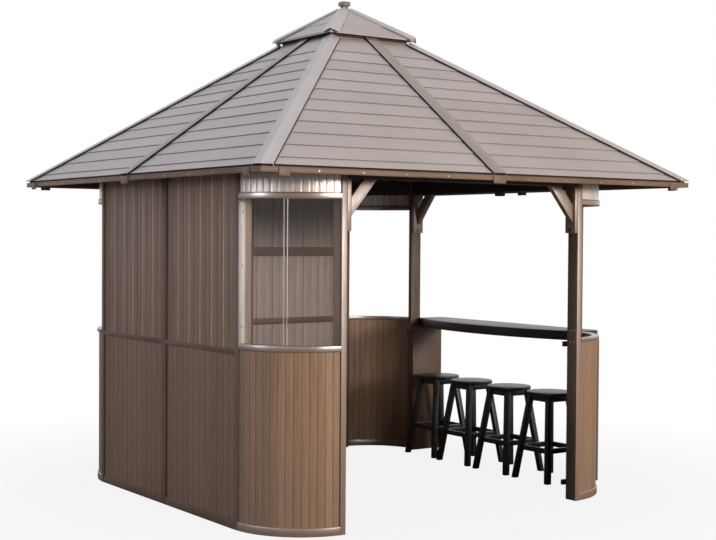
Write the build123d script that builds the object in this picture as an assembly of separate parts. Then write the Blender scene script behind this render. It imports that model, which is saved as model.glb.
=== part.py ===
from build123d import *
import os
from math import asin, cos, degrees, radians, sin, sqrt

# Hot tub gazebo: a square summer house with four rounded corners, an open
# entrance at the front (-Y), a bar along the right side (+X), closed walls on
# the left (-X) and at the back (+Y), and a hip roof with a small upper tier.
# Millimetres, +Z up, origin on the ground under the middle of the roof.

# Plan of the walls
WALL_HALF = 1380.0        # centre to the outside face of walls and posts
CORNER_RADIUS = 472.0     # outside of the rounded corners
POST_WIDTH = 38.0         # along the wall
POST_DEPTH = 92.0         # into the house
RAIL_PROUD = 8.0          # boards lie this far behind the face of the rails

# Heights of the walls
BASE_HEIGHT = 50.0        # rail on the ground
CAP_TOP = 1066.0          # top of the bar-height walls and of the counter
CAP_THICKNESS = 26.0
CAP_WIDTH = 50.0
CAP_PROUD = 4.0
SILL_BOTTOM = 1056.0      # under the corner window
SILL_THICKNESS = 38.0
MID_RAIL_TOP = 1055.0
MID_RAIL_HEIGHT = 30.0
INNER_RAIL_DEPTH = 20.0   # rails on the inner face of the closed walls' boards
INNER_RAIL_HEIGHT = 46.0  # stands up from the underside of the middle rail
UPPER_RAIL_BOTTOM = 1560.0
UPPER_RAIL_HEIGHT = 70.0
HEADER_BOTTOM = 2053.0
VALANCE_BOTTOM = 1933.0   # underside of the rail below each valance
VALANCE_RAIL_HEIGHT = 38.0

# Boards
BOARD_THICKNESS = 18.0
RAIL_DEPTH = 40.0
CORNER_BOARDS = 14        # boards round one corner
WALL_BOARDS = 12          # boards in one bay of a flat wall
GROOVE_WIDTH = 7.0
GROOVE_DEPTH = 4.0
MULLION_WIDTH = 66.0

# Roof
EAVE_OVERHANG = 270.0     # face of the walls to the face of the fascia
FASCIA_ABOVE_HEADER = 5.0     # underside of the fascia above that of the beams
FASCIA_HEIGHT = 30.0
FASCIA_THICKNESS = 12.0
ROOF_SLOPE = 0.7145       # rise over run
ROOF_THICKNESS = 20.0     # measured upright
FIRST_COURSE_RUN = 76.0   # level run of the lowest course of roof boards
TOP_SEAM_HALF = 490.0     # centre to the highest seam; a wide course is above it
COURSE_SEAMS = 11         # seams on each face
COURSE_STEP = 6.0         # each course stands proud of the one below it
ROOF_GAP = 3.0            # between two roof faces under a hip cap
HIP_CAP_HALF = 58.0
RIB_CAP_HALF = 48.0
ROOF_CAP_THICKNESS = 14.0
RAFTER_WIDTH = 40.0
RAFTER_DEPTH = 100.0      # measured upright
CORNER_BEAM_DEPTH = 45.0
CORNER_BEAM_CLEARANCE = 3.0   # behind the boards of the valances
COLLAR_HALF = 310.0       # outside of the square collar at the top of the rafters
COLLAR_THICKNESS = 24.0
CAP_UNDER_TIER = 26.0     # roof caps end this far inside the edge of the upper tier
END_PLATE_THICKNESS = 6.0
END_PLATE_DROP = 18.0     # the plates hang this far below the fascia
HIP_TAB_WIDTH = 70.0
HIP_TAB_FROM_CORNER = 145.0

# Upper tier and finial
TIER_OVERHANG = 38.0      # its edge outside the collar
TIER_LIFT = 4.1           # underside of its edge above the ends of the roof caps
TIER_SLOPE = 0.655
TIER_THICKNESS = 14.0
TIER_SEAM_HALF = 226.0
TIER_STEP = 5.0
TIER_TOP_HALF = 24.0
TIER_CAP_LOW_HALF = 60.0
TIER_CAP_TOP_HALF = 38.0
TIER_CAP_END = 8.0        # from the edge of the flat top to the end of each cap
TIER_CAP_THICKNESS = 8.0
TIER_CAP_CLEARANCE = 0.3
NECK_WIDTH = 41.0
NECK_HEIGHT = 20.0
FINIAL_WIDTH = 68.0
FINIAL_HEIGHT = 28.0

# Knee braces
BRACE_BLOCK_WIDTH = 27.0
BRACE_BLOCK_BOTTOM = 1750.0
BRACE_FOOT_LOW = 1819.0   # where the lower edge of the brace leaves its block
BRACE_FOOT_HIGH = 1930.0
BRACE_REACH_NEAR = 109.0  # upper edge at the header, from the block
BRACE_REACH_FAR = 196.0   # lower edge at the header, from the block
BRACE_THICKNESS = 38.0
BRACE_SETBACK = 22.0       # behind the face of the block

# Corner window
GLASS_THICKNESS = 5.0
GLASS_SETBACK = 8.0
STRIP_WIDTH = 24.0        # where the two panes meet
STRIP_DEPTH = 14.0
STRIP_SETBACK = 2.0
JAMB_THICKNESS = 4.0      # flat strips on the posts beside the panes
JAMB_DEPTH = 44.0

# Bar
COUNTER_OUTER = 222.0     # reach of the board outside the wall line
COUNTER_BOW = 186.0       # how far its inner edge bows into the house
COUNTER_END_SETBACK = 14.0
COUNTER_BOARD = 25.0
COUNTER_APRON = 66.0
COUNTER_APRON_THICKNESS = 20.0
COUNTER_CORNER = 60.0
BAR_PANEL_THICKNESS = 20.0
BAR_PANEL_OUTER = 205.0
BAR_PANEL_INNER = 85.0
BAR_CLEARANCE = 0.3
BLOCK_WIDTH = 50.0        # fixing blocks at the foot and head of the bar panels
BLOCK_DEPTH = 22.0
BLOCK_HEIGHT = 36.0
KNOB_RADIUS = 44.0        # under the middle of the beam over the bar
KNOB_HEIGHT = 28.0
KNOB_OFFSET = -112.0

# Bar stools
STOOL_SETBACKS = (12.0, 30.0, 44.0, 44.0)     # middle of each seat inside the wall line
STOOL_SHARES = (0.730, 0.250, -0.259, -0.7525)    # along half the clear length of the bar
SEAT_TOP = 626.0
SEAT_DIAMETER = 324.0
SEAT_THICKNESS = 22.0
STOOL_APRON = 44.0
STOOL_APRON_THICKNESS = 20.0
LEG_TOP_OFFSET = 92.0
LEG_FOOT_SHARE = 0.1915   # middle of a foot from that of the seat, of the same length
LEG_WIDTH = 38.0
STRETCHER_HEIGHT = 205.0
STRETCHER_DEPTH = 36.0
STRETCHER_THICKNESS = 20.0

# Worked out from the values above
EAVE_HALF = WALL_HALF + EAVE_OVERHANG       # centre to the face of the fascia
TIER_HALF = COLLAR_HALF + TIER_OVERHANG
CAP_TOP_HALF = TIER_HALF - CAP_UNDER_TIER
FASCIA_BOTTOM = HEADER_BOTTOM + FASCIA_ABOVE_HEADER
COURSE_RUN = (EAVE_HALF - FIRST_COURSE_RUN - TOP_SEAM_HALF) / (COURSE_SEAMS - 1)
CENTRE = WALL_HALF - CORNER_RADIUS          # centre of each rounded corner
BAR_CLEAR_HALF = CENTRE - BAR_CLEARANCE - BAR_PANEL_THICKNESS
LEG_FOOT_OFFSET = LEG_FOOT_SHARE * BAR_CLEAR_HALF
POST_FAR = CENTRE + POST_WIDTH              # corner side of the posts
BOARD_RADIUS = CORNER_RADIUS - RAIL_PROUD
BOARD_BACK = WALL_HALF - RAIL_PROUD - BOARD_THICKNESS
FASCIA_TOP = FASCIA_BOTTOM + FASCIA_HEIGHT
ROOF_START = EAVE_HALF - FASCIA_THICKNESS
SILL_TOP = SILL_BOTTOM + SILL_THICKNESS
HALF_WALL_TOP = CAP_TOP - CAP_THICKNESS


def roof_height(half, base=0.0):
    """Height of the plane of a roof face at a level distance from the middle."""
    return FASCIA_TOP + ROOF_SLOPE * (EAVE_HALF - half) + base


TIER_EAVE = roof_height(CAP_TOP_HALF, COURSE_STEP + ROOF_CAP_THICKNESS + TIER_LIFT)


def tier_height(half, base=0.0):
    """Height of the top of the upper tier at a level distance from the middle."""
    return TIER_EAVE + TIER_THICKNESS + TIER_SLOPE * (TIER_HALF - half) + base


HEADER_TOP = roof_height(WALL_HALF) - ROOF_THICKNESS - RAFTER_DEPTH
TIER_TOP = tier_height(TIER_TOP_HALF, TIER_STEP)


def slab(x0, x1, y0, y1, z0, z1):
    """A straight-sided block between two corners."""
    block = Box(x1 - x0, y1 - y0, z1 - z0, align=(Align.MIN, Align.MIN, Align.MIN))
    return Pos(x0, y0, z0) * block


def prism(points, z0, z1):
    """An upright prism over an outline in plan."""
    face = make_face(Polyline(*points, close=True))
    return Pos(0, 0, z0) * extrude(face, z1 - z0)


def turned(shape, quarter_turns):
    """The same piece on another side or corner of the square plan."""
    return Rot(0, 0, 90 * quarter_turns) * shape


CORNERS = {"back_right": 0, "back_left": 1, "front_left": 2, "front_right": 3}
SIDES = {"right": 0, "back": 1, "left": 2, "front": 3}


def ring_band(inner, outer, z0, z1):
    """A quarter ring round the back right corner, between its two posts."""
    disc = Cylinder(outer, z1 - z0, align=(Align.CENTER, Align.CENTER, Align.MIN))
    hole = Cylinder(inner, z1 - z0, align=(Align.CENTER, Align.CENTER, Align.MIN))
    ring = Pos(CENTRE, CENTRE, z0) * (disc - hole)
    reach = CENTRE + outer + 1
    return ring & slab(POST_FAR, reach, POST_FAR, reach, z0, z1)


def on_corner(radius, angle):
    """A point on a circle about the centre of the back right corner."""
    return (CENTRE + radius * cos(radians(angle)), CENTRE + radius * sin(radians(angle)))


def corner_boards(z0, z1):
    """Upright boards bent round the back right corner, with a groove at each joint."""
    outer = BOARD_RADIUS
    inner = outer - BOARD_THICKNESS
    start = degrees(asin(POST_WIDTH / outer))
    pitch = (90 - 2 * start) / CORNER_BOARDS
    half_groove = degrees(GROOVE_WIDTH / 2 / outer)
    edges = []
    here = on_corner(outer, start)
    for board in range(CORNER_BOARDS):
        joint = start + (board + 1) * pitch
        last = board == CORNER_BOARDS - 1
        stop = joint if last else joint - half_groove
        begin = start + board * pitch + (half_groove if board else 0)
        there = on_corner(outer, stop)
        edges.append(ThreePointArc(here, on_corner(outer, (begin + stop) / 2), there))
        here = there
        if not last:
            bottom = on_corner(outer - GROOVE_DEPTH, joint)
            far = on_corner(outer, joint + half_groove)
            edges += [Line(here, bottom), Line(bottom, far)]
            here = far
    inner_start = degrees(asin(POST_WIDTH / inner))
    inner_far = on_corner(inner, 90 - inner_start)
    inner_near = on_corner(inner, inner_start)
    edges.append(Line(here, inner_far))
    edges.append(ThreePointArc(inner_far, on_corner(inner, 45), inner_near))
    edges.append(Line(inner_near, on_corner(outer, start)))
    return Pos(0, 0, z0) * extrude(make_face(edges), z1 - z0)


def wall_boards(y0, y1, z0, z1):
    """One bay of upright boards in the right-hand wall plane."""
    face = WALL_HALF - RAIL_PROUD
    pitch = (y1 - y0) / WALL_BOARDS
    points = [(face - BOARD_THICKNESS, y0), (face, y0)]
    for joint in range(1, WALL_BOARDS):
        y = y0 + joint * pitch
        points += [(face, y - GROOVE_WIDTH / 2), (face - GROOVE_DEPTH, y), (face, y + GROOVE_WIDTH / 2)]
    points += [(face, y1), (face - BOARD_THICKNESS, y1)]
    return prism(points, z0, z1)


def wall_bays(z0, z1):
    """Boards on both sides of the mullion of a closed wall."""
    near = wall_boards(-CENTRE, -MULLION_WIDTH / 2, z0, z1)
    far = wall_boards(MULLION_WIDTH / 2, CENTRE, z0, z1)
    return [near, far]


def wall_frame():
    """Mullion, rails and inner rails of a closed wall, joined as one frame."""
    back = BOARD_BACK
    half = MULLION_WIDTH / 2
    frame = slab(back, WALL_HALF, -half, half, 0, HEADER_TOP)
    frame += slab(WALL_HALF - POST_DEPTH, back, -half, half, 0, HEADER_BOTTOM)
    middle = MID_RAIL_TOP - MID_RAIL_HEIGHT
    for low, high in ((0, BASE_HEIGHT), (middle, MID_RAIL_TOP)):
        frame += slab(back, WALL_HALF, -CENTRE, CENTRE, low, high)
    for low, height in ((middle, INNER_RAIL_HEIGHT), (UPPER_RAIL_BOTTOM, UPPER_RAIL_HEIGHT)):
        frame += slab(back - INNER_RAIL_DEPTH, back, -CENTRE, CENTRE, low, low + height)
    return frame


def corner_post_pair():
    """The two posts at the ends of the back right corner."""
    inner = WALL_HALF - POST_DEPTH
    side = slab(inner, WALL_HALF, CENTRE, POST_FAR, 0, HEADER_TOP)
    end = slab(CENTRE, POST_FAR, inner, WALL_HALF, 0, HEADER_TOP)
    return [side, end]


def header_beam(outer):
    """The beam between the posts of the right-hand side, out to the given face."""
    return slab(WALL_HALF - POST_DEPTH, outer, -CENTRE, CENTRE, HEADER_BOTTOM, HEADER_TOP)


def corner_beam():
    """The beam across the back right corner, with the strut that carries the hip rafter."""
    outer = BOARD_BACK - CORNER_BEAM_CLEARANCE
    inner = outer - CORNER_BEAM_DEPTH
    outline = [(outer, POST_FAR), (POST_FAR, outer), (POST_FAR, inner), (inner, POST_FAR)]
    beam = prism(outline, HEADER_BOTTOM, HEADER_TOP)
    middle = (outer + inner) / 2 + POST_FAR
    strut_top = roof_height(middle / 2, -ROOF_THICKNESS - RAFTER_DEPTH / 2)
    strut = Pos(middle / sqrt(2), 0, HEADER_TOP) * Box(
        CORNER_BEAM_DEPTH / sqrt(2), RAFTER_WIDTH, strut_top - HEADER_TOP,
        align=(Align.CENTER, Align.CENTER, Align.MIN))
    return beam + (Rot(0, 0, 45) * strut - hip_rafter())


def knee_brace():
    """Brace and block at the back end of the right-hand opening."""
    side = CENTRE - BRACE_BLOCK_WIDTH
    block = slab(WALL_HALF - POST_DEPTH, WALL_HALF, side, CENTRE, BRACE_BLOCK_BOTTOM, HEADER_BOTTOM)
    outline = [
        (side, BRACE_FOOT_LOW),
        (side - BRACE_REACH_FAR, HEADER_BOTTOM),
        (side - BRACE_REACH_NEAR, HEADER_BOTTOM),
        (side, BRACE_FOOT_HIGH),
    ]
    face = make_face(Polyline(*[(0, y, z) for y, z in outline], close=True))
    inner = WALL_HALF - BRACE_SETBACK - BRACE_THICKNESS
    return block + Pos(inner, 0, 0) * extrude(face, BRACE_THICKNESS, dir=(1, 0, 0))


def roof_face():
    """The right-hand roof face, stepped at each course of boards."""
    upper = [(ROOF_START, roof_height(ROOF_START, COURSE_STEP))]
    for seam in range(COURSE_SEAMS):
        half = EAVE_HALF - FIRST_COURSE_RUN - seam * COURSE_RUN
        upper += [(half, roof_height(half)), (half, roof_height(half, COURSE_STEP))]
    upper.append((COLLAR_HALF, roof_height(COLLAR_HALF)))
    under = [(h, roof_height(h, -ROOF_THICKNESS)) for h in (COLLAR_HALF, ROOF_START)]
    outline = [(h, 0, z) for h, z in upper + under]
    face = make_face(Polyline(*outline, close=True))
    long_face = Pos(0, -EAVE_HALF, 0) * extrude(face, 2 * EAVE_HALF, dir=(0, 1, 0))
    gap = ROOF_GAP * sqrt(2) / 2
    reach = EAVE_HALF + gap
    wedge = [(gap, 0), (reach, reach - gap), (reach, gap - reach)]
    top = roof_height(0, ROOF_THICKNESS)
    return long_face & prism(wedge, FASCIA_BOTTOM - ROOF_THICKNESS, top)


def roof_strip(angle, half_width, base, thickness, outer, inner, fall):
    """A long cap up the roof. Its two flanks fall away from the middle by fall."""
    stretch = sqrt(2) if angle % 90 else 1.0
    slope = ROOF_SLOPE / stretch
    start = outer * stretch
    run = (outer - inner) * stretch
    z = roof_height(outer, base)
    drop = fall * half_width
    section = [
        (start, -half_width, z - drop),
        (start, 0, z),
        (start, half_width, z - drop),
        (start, half_width, z - drop + thickness),
        (start, 0, z + thickness),
        (start, -half_width, z - drop + thickness),
    ]
    if not fall:
        section = [section[0], section[2], section[3], section[5]]
    face = make_face(Polyline(*section, close=True))
    way = Vector(-1, 0, slope)
    body = extrude(face, run * way.length, dir=way.normalized())
    return Rot(0, 0, angle) * body


def rafter(angle, outer, inner, top_drop):
    """A rafter under the roof, its tail cut level above the fascia's underside."""
    stretch = sqrt(2) if angle % 90 else 1.0
    tail = FASCIA_BOTTOM + 4
    depth = ROOF_THICKNESS + RAFTER_DEPTH
    tail_half = EAVE_HALF - (tail - FASCIA_TOP + depth) / ROOF_SLOPE
    outline = [
        (outer, roof_height(outer, -ROOF_THICKNESS - top_drop)),
        (outer, tail),
        (tail_half, tail),
        (inner, roof_height(inner, -depth)),
        (inner, roof_height(inner, -ROOF_THICKNESS - top_drop)),
    ]
    face = make_face(Polyline(*[(h * stretch, 0, z) for h, z in outline], close=True))
    body = Pos(0, RAFTER_WIDTH / 2, 0) * extrude(face, RAFTER_WIDTH, dir=(0, -1, 0))
    return Rot(0, 0, angle) * body


def hip_rafter():
    """The rafter under the back right hip, between the collar and the corner of the eaves."""
    drop = ROOF_SLOPE / sqrt(2) * RAFTER_WIDTH / 2
    half_width = RAFTER_WIDTH / 2 / sqrt(2)
    return rafter(45, ROOF_START - half_width, COLLAR_HALF + half_width, drop)


def rafter_collar():
    """The square collar that the rafters meet at and the upper tier stands on."""
    inner_half = COLLAR_HALF - COLLAR_THICKNESS
    low = roof_height(COLLAR_HALF, -ROOF_THICKNESS - RAFTER_DEPTH)
    high = tier_height(COLLAR_HALF, -TIER_THICKNESS)
    collar = slab(-COLLAR_HALF, COLLAR_HALF, -COLLAR_HALF, COLLAR_HALF, low, high)
    return collar - slab(-inner_half, inner_half, -inner_half, inner_half, low, high)


def hip_cap():
    """The folded cap over the back right hip, ending square with the eaves."""
    fall = ROOF_SLOPE / sqrt(2)
    edge = EAVE_HALF + END_PLATE_THICKNESS
    cap = roof_strip(45, HIP_CAP_HALF, COURSE_STEP, ROOF_CAP_THICKNESS,
                     edge + HIP_CAP_HALF, CAP_TOP_HALF, fall)
    return cap & slab(0, edge, 0, edge, FASCIA_BOTTOM, roof_height(0))


def rib_cap():
    """The flat cap up the middle of the right-hand roof face."""
    return roof_strip(0, RIB_CAP_HALF, COURSE_STEP, ROOF_CAP_THICKNESS,
                      EAVE_HALF + END_PLATE_THICKNESS, CAP_TOP_HALF, 0.0)


def end_plates():
    """Plates on the right-hand fascia, below the ends of the rib and hip caps."""
    outer = EAVE_HALF + END_PLATE_THICKNESS
    low = FASCIA_BOTTOM - END_PLATE_DROP
    plates = [slab(EAVE_HALF, outer, -RIB_CAP_HALF, RIB_CAP_HALF, low, FASCIA_TOP)]
    middle = EAVE_HALF - HIP_TAB_FROM_CORNER
    for side in (-1, 1):
        y0 = side * middle - HIP_TAB_WIDTH / 2
        plates.append(slab(EAVE_HALF, outer, y0, y0 + HIP_TAB_WIDTH, low, FASCIA_TOP))
    return plates


def fascia():
    """The strip round the eaves."""
    inner = ROOF_START
    ring = slab(-EAVE_HALF, EAVE_HALF, -EAVE_HALF, EAVE_HALF, FASCIA_BOTTOM, FASCIA_TOP)
    return ring - slab(-inner, inner, -inner, inner, FASCIA_BOTTOM, FASCIA_TOP)


def flat_sided(low, top):
    """A solid with flat sides between two outlines with as many corners."""
    rings = [low, top]
    for corner in range(len(low)):
        after = (corner + 1) % len(low)
        rings.append([low[corner], low[after], top[after], top[corner]])
    return Solid(Shell([Face(Wire.make_polygon(ring)) for ring in rings]))


def square(half, z, x=0.0, y=0.0):
    """The corners of a level square about a point."""
    return [(x + i * half, y + j * half, z) for i, j in ((-1, -1), (1, -1), (1, 1), (-1, 1))]


def square_frustum(low_half, low_z, top_half, top_z):
    """A four-sided tapering block."""
    return flat_sided(square(low_half, low_z), square(top_half, top_z))


def tier_roof():
    """The upper tier: a thin pyramid of two courses, open underneath."""
    seam = tier_height(TIER_SEAM_HALF)
    shell = slab(-TIER_HALF, TIER_HALF, -TIER_HALF, TIER_HALF, TIER_EAVE, tier_height(TIER_HALF))
    shell += square_frustum(TIER_HALF, tier_height(TIER_HALF), TIER_SEAM_HALF, seam)
    shell += slab(-TIER_SEAM_HALF, TIER_SEAM_HALF, -TIER_SEAM_HALF, TIER_SEAM_HALF,
                  seam, seam + TIER_STEP)
    shell += square_frustum(TIER_SEAM_HALF, seam + TIER_STEP, TIER_TOP_HALF, TIER_TOP)
    hollow = square_frustum(TIER_HALF, TIER_EAVE, TIER_TOP_HALF,
                            tier_height(TIER_TOP_HALF, -TIER_THICKNESS))
    return shell - hollow


def tier_cap():
    """The tapering folded cap over the back right hip of the upper tier."""
    fall = TIER_SLOPE / sqrt(2)
    sections = []
    ends = (TIER_HALF + 2, TIER_CAP_LOW_HALF), (TIER_TOP_HALF + TIER_CAP_END, TIER_CAP_TOP_HALF)
    for half, width in ends:
        z = tier_height(half, TIER_STEP + TIER_CAP_CLEARANCE)
        x = half * sqrt(2)
        sections.append([
            (x, -width, z - fall * width),
            (x, 0, z),
            (x, width, z - fall * width),
            (x, width, z - fall * width + TIER_CAP_THICKNESS),
            (x, 0, z + TIER_CAP_THICKNESS),
            (x, -width, z - fall * width + TIER_CAP_THICKNESS),
        ])
    return Rot(0, 0, 45) * flat_sided(*sections)


def finial():
    """Square neck and bevelled cap at the top of the roof."""
    neck = slab(-NECK_WIDTH / 2, NECK_WIDTH / 2, -NECK_WIDTH / 2, NECK_WIDTH / 2,
                TIER_TOP, TIER_TOP + NECK_HEIGHT)
    low = TIER_TOP + NECK_HEIGHT
    half = FINIAL_WIDTH / 2
    plate = slab(-half, half, -half, half, low, low + FINIAL_HEIGHT * 0.6)
    top = square_frustum(half, low + FINIAL_HEIGHT * 0.6, half * 0.45, low + FINIAL_HEIGHT)
    return neck + plate + top


def window_panes():
    """Two curved panes, one each side of the upright strip in the middle."""
    outer = CORNER_RADIUS - GLASS_SETBACK
    band = ring_band(outer - GLASS_THICKNESS, outer, SILL_TOP, VALANCE_BOTTOM)
    gap = Rot(0, 0, 45) * Box(4 * WALL_HALF, STRIP_WIDTH, 4 * WALL_HALF)
    edge = POST_FAR + JAMB_THICKNESS
    band &= slab(edge, WALL_HALF, edge, WALL_HALF, SILL_TOP, VALANCE_BOTTOM)
    return (band - gap).solids()


def window_strips():
    """The upright strip where the panes meet, and a flat strip on each post beside them."""
    outer = CORNER_RADIUS - STRIP_SETBACK
    band = ring_band(outer - STRIP_DEPTH, outer, SILL_TOP, VALANCE_BOTTOM)
    middle = band & (Rot(0, 0, 45) * Box(4 * WALL_HALF, STRIP_WIDTH, 4 * WALL_HALF))
    near, far = POST_FAR, POST_FAR + JAMB_THICKNESS
    face = WALL_HALF - STRIP_SETBACK
    side = slab(face - JAMB_DEPTH, face, near, far, SILL_TOP, VALANCE_BOTTOM)
    end = slab(near, far, face - JAMB_DEPTH, face, SILL_TOP, VALANCE_BOTTOM)
    return [*middle.solids(), side, end]


def counter():
    """Bar top with a bowed inner edge and a deep apron along it."""
    end = CENTRE - BAR_CLEARANCE
    inner = WALL_HALF - COUNTER_END_SETBACK
    outer = WALL_HALF + COUNTER_OUTER
    arc = ThreePointArc((inner, -end), (WALL_HALF - COUNTER_BOW, 0), (inner, end))
    rest = FilletPolyline((inner, end), (outer, end), (outer, -end), (inner, -end),
                          radius=COUNTER_CORNER)
    outline = make_face([arc] + list(rest.edges()))
    body = Pos(0, 0, CAP_TOP - COUNTER_APRON) * extrude(outline, COUNTER_APRON)
    inside = offset(outline, amount=-COUNTER_APRON_THICKNESS, kind=Kind.INTERSECTION)
    hollow = Pos(0, 0, CAP_TOP - COUNTER_APRON) * extrude(inside, COUNTER_APRON - COUNTER_BOARD)
    return body - hollow


def bar_panel():
    """The upright panel that carries the back end of the counter."""
    x0 = WALL_HALF - BAR_PANEL_INNER
    x1 = WALL_HALF + BAR_PANEL_OUTER
    y1 = CENTRE - BAR_CLEARANCE
    return slab(x0, x1, y1 - BAR_PANEL_THICKNESS, y1, 0, CAP_TOP - COUNTER_APRON)


def bar_panel_blocks():
    """The fixing blocks beside the inner edge of the back bar panel, at its foot and head."""
    x1 = WALL_HALF - BAR_PANEL_INNER
    y1 = CENTRE - BAR_CLEARANCE
    top = CAP_TOP - COUNTER_APRON
    return [slab(x1 - BLOCK_WIDTH, x1, y1 - BLOCK_DEPTH, y1, z, z + BLOCK_HEIGHT)
            for z in (0, top - BLOCK_HEIGHT)]


def header_knob():
    """The round knob under the beam over the bar."""
    knob = Cylinder(KNOB_RADIUS, KNOB_HEIGHT, align=(Align.CENTER, Align.CENTER, Align.MAX))
    return Pos(WALL_HALF - POST_DEPTH / 2, KNOB_OFFSET, HEADER_BOTTOM) * knob


def stool():
    """Round seat on four splayed square legs with an apron and a ring of stretchers."""
    seat = Cylinder(SEAT_DIAMETER / 2, SEAT_THICKNESS, align=(Align.CENTER, Align.CENTER, Align.MAX))
    body = Pos(0, 0, SEAT_TOP) * seat
    leg_top = SEAT_TOP - SEAT_THICKNESS

    def leg_offset(z):
        return LEG_FOOT_OFFSET + (LEG_TOP_OFFSET - LEG_FOOT_OFFSET) * z / leg_top

    foot = square(LEG_WIDTH / 2, 0, LEG_FOOT_OFFSET, LEG_FOOT_OFFSET)
    leg = flat_sided(foot, square(LEG_WIDTH / 2, leg_top, LEG_TOP_OFFSET, LEG_TOP_OFFSET))
    for turn in range(4):
        body += turned(leg, turn)
        for low, depth, thickness in (
                (leg_top - STOOL_APRON, STOOL_APRON, STOOL_APRON_THICKNESS),
                (STRETCHER_HEIGHT, STRETCHER_DEPTH, STRETCHER_THICKNESS)):
            reach = leg_offset(low + depth / 2)
            rail = slab(reach - thickness / 2, reach + thickness / 2, -reach, reach, low, low + depth)
            body += turned(rail, turn)
    return body


nodes = {}

nodes["corner_posts"] = [turned(post, turn) for turn in range(4) for post in corner_post_pair()]
nodes["header_beams"] = [
    turned(header_beam(WALL_HALF if side in ("right", "front") else BOARD_BACK), turn)
    for side, turn in SIDES.items()]
nodes["corner_beams"] = [turned(corner_beam(), turn) for turn in range(4)]

brace = knee_brace()
mirrored = mirror(brace, about=Plane.XZ)
nodes["knee_braces"] = [turned(piece, SIDES[side]) for side in ("right", "front")
                        for piece in (brace, mirrored)]

for name, turn in CORNERS.items():
    top = SILL_BOTTOM if name == "front_left" else HALF_WALL_TOP
    nodes[name + "_half_wall"] = [turned(corner_boards(BASE_HEIGHT, top), turn)]
    valance_low = VALANCE_BOTTOM + VALANCE_RAIL_HEIGHT
    nodes[name + "_valance"] = [turned(corner_boards(valance_low, HEADER_TOP), turn)]

base_rail = ring_band(CORNER_RADIUS - RAIL_DEPTH, CORNER_RADIUS, 0, BASE_HEIGHT)
nodes["corner_base_rails"] = [turned(base_rail, turn) for turn in range(4)]
cap_outer = CORNER_RADIUS + CAP_PROUD
cap_rail = ring_band(cap_outer - CAP_WIDTH, cap_outer, HALF_WALL_TOP, CAP_TOP)
nodes["corner_cap_rails"] = [
    turned(cap_rail, turn) for name, turn in CORNERS.items() if name != "front_left"]
valance_rail = ring_band(CORNER_RADIUS - RAIL_DEPTH, CORNER_RADIUS, VALANCE_BOTTOM,
                         VALANCE_BOTTOM + VALANCE_RAIL_HEIGHT)
nodes["valance_rails"] = [turned(valance_rail, turn) for turn in range(4)]

sill = ring_band(CORNER_RADIUS - RAIL_DEPTH, CORNER_RADIUS, SILL_BOTTOM, SILL_TOP)
window = CORNERS["front_left"]
nodes["window_sill"] = [turned(sill, window)]
nodes["window_panes"] = [turned(pane, window) for pane in window_panes()]
nodes["window_strips"] = [turned(strip, window) for strip in window_strips()]

for name in ("left", "back"):
    turn = SIDES[name]
    upper = wall_bays(MID_RAIL_TOP, HEADER_TOP)
    lower = wall_bays(BASE_HEIGHT, MID_RAIL_TOP - MID_RAIL_HEIGHT)
    nodes[name + "_wall_boards"] = [turned(bay, turn) for bay in lower + upper]
    nodes[name + "_wall_frame"] = [turned(wall_frame(), turn)]

for name, turn in SIDES.items():
    nodes["roof_" + name] = [turned(roof_face(), turn)]
nodes["rafters"] = [Rot(0, 0, 90 * turn) * rafter(0, ROOF_START, COLLAR_HALF, 0.0) for turn in range(4)]
nodes["rafters"] += [turned(hip_rafter(), turn) for turn in range(4)]
nodes["rafter_collar"] = [rafter_collar()]
nodes["hip_caps"] = [turned(hip_cap(), turn) for turn in range(4)]
nodes["rib_caps"] = [turned(rib_cap(), turn) for turn in range(4)]
nodes["eave_end_plates"] = [turned(plate, turn) for turn in range(4) for plate in end_plates()]
nodes["eave_fascia"] = [fascia()]
nodes["upper_tier_roof"] = [tier_roof()]
nodes["upper_tier_caps"] = [turned(tier_cap(), turn) for turn in range(4)]
nodes["finial"] = [finial()]

nodes["bar_counter"] = [counter()]
panel = bar_panel()
nodes["bar_end_panels"] = [panel, mirror(panel, about=Plane.XZ)]
blocks = bar_panel_blocks()
nodes["bar_panel_blocks"] = blocks + [mirror(block, about=Plane.XZ) for block in blocks]
nodes["header_knob"] = [header_knob()]
for number, (setback, share) in enumerate(zip(STOOL_SETBACKS, STOOL_SHARES), start=1):
    place = Pos(WALL_HALF - setback, share * BAR_CLEAR_HALF, 0)
    nodes[f"bar_stool_{number}"] = [place * stool()]

os.makedirs("parts", exist_ok=True)
for name, solids in nodes.items():
    shape = solids[0] if len(solids) == 1 else Compound(children=[Part() + s for s in solids])
    export_step(shape, f"parts/{name}.step")
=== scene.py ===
"""The looks of the hot tub gazebo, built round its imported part.

Each sub-assembly of the house is a class that holds its sizes and builds its
pieces. Lengths are in metres and +Z is up. The entrance is on the -Y side and
the bar on the +X side.
"""

import logging
import math
import random
from collections.abc import Callable, Iterable, Sequence
from dataclasses import dataclass, field
from enum import Enum

import bmesh
import bpy
from mathutils import Matrix, Vector


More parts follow.
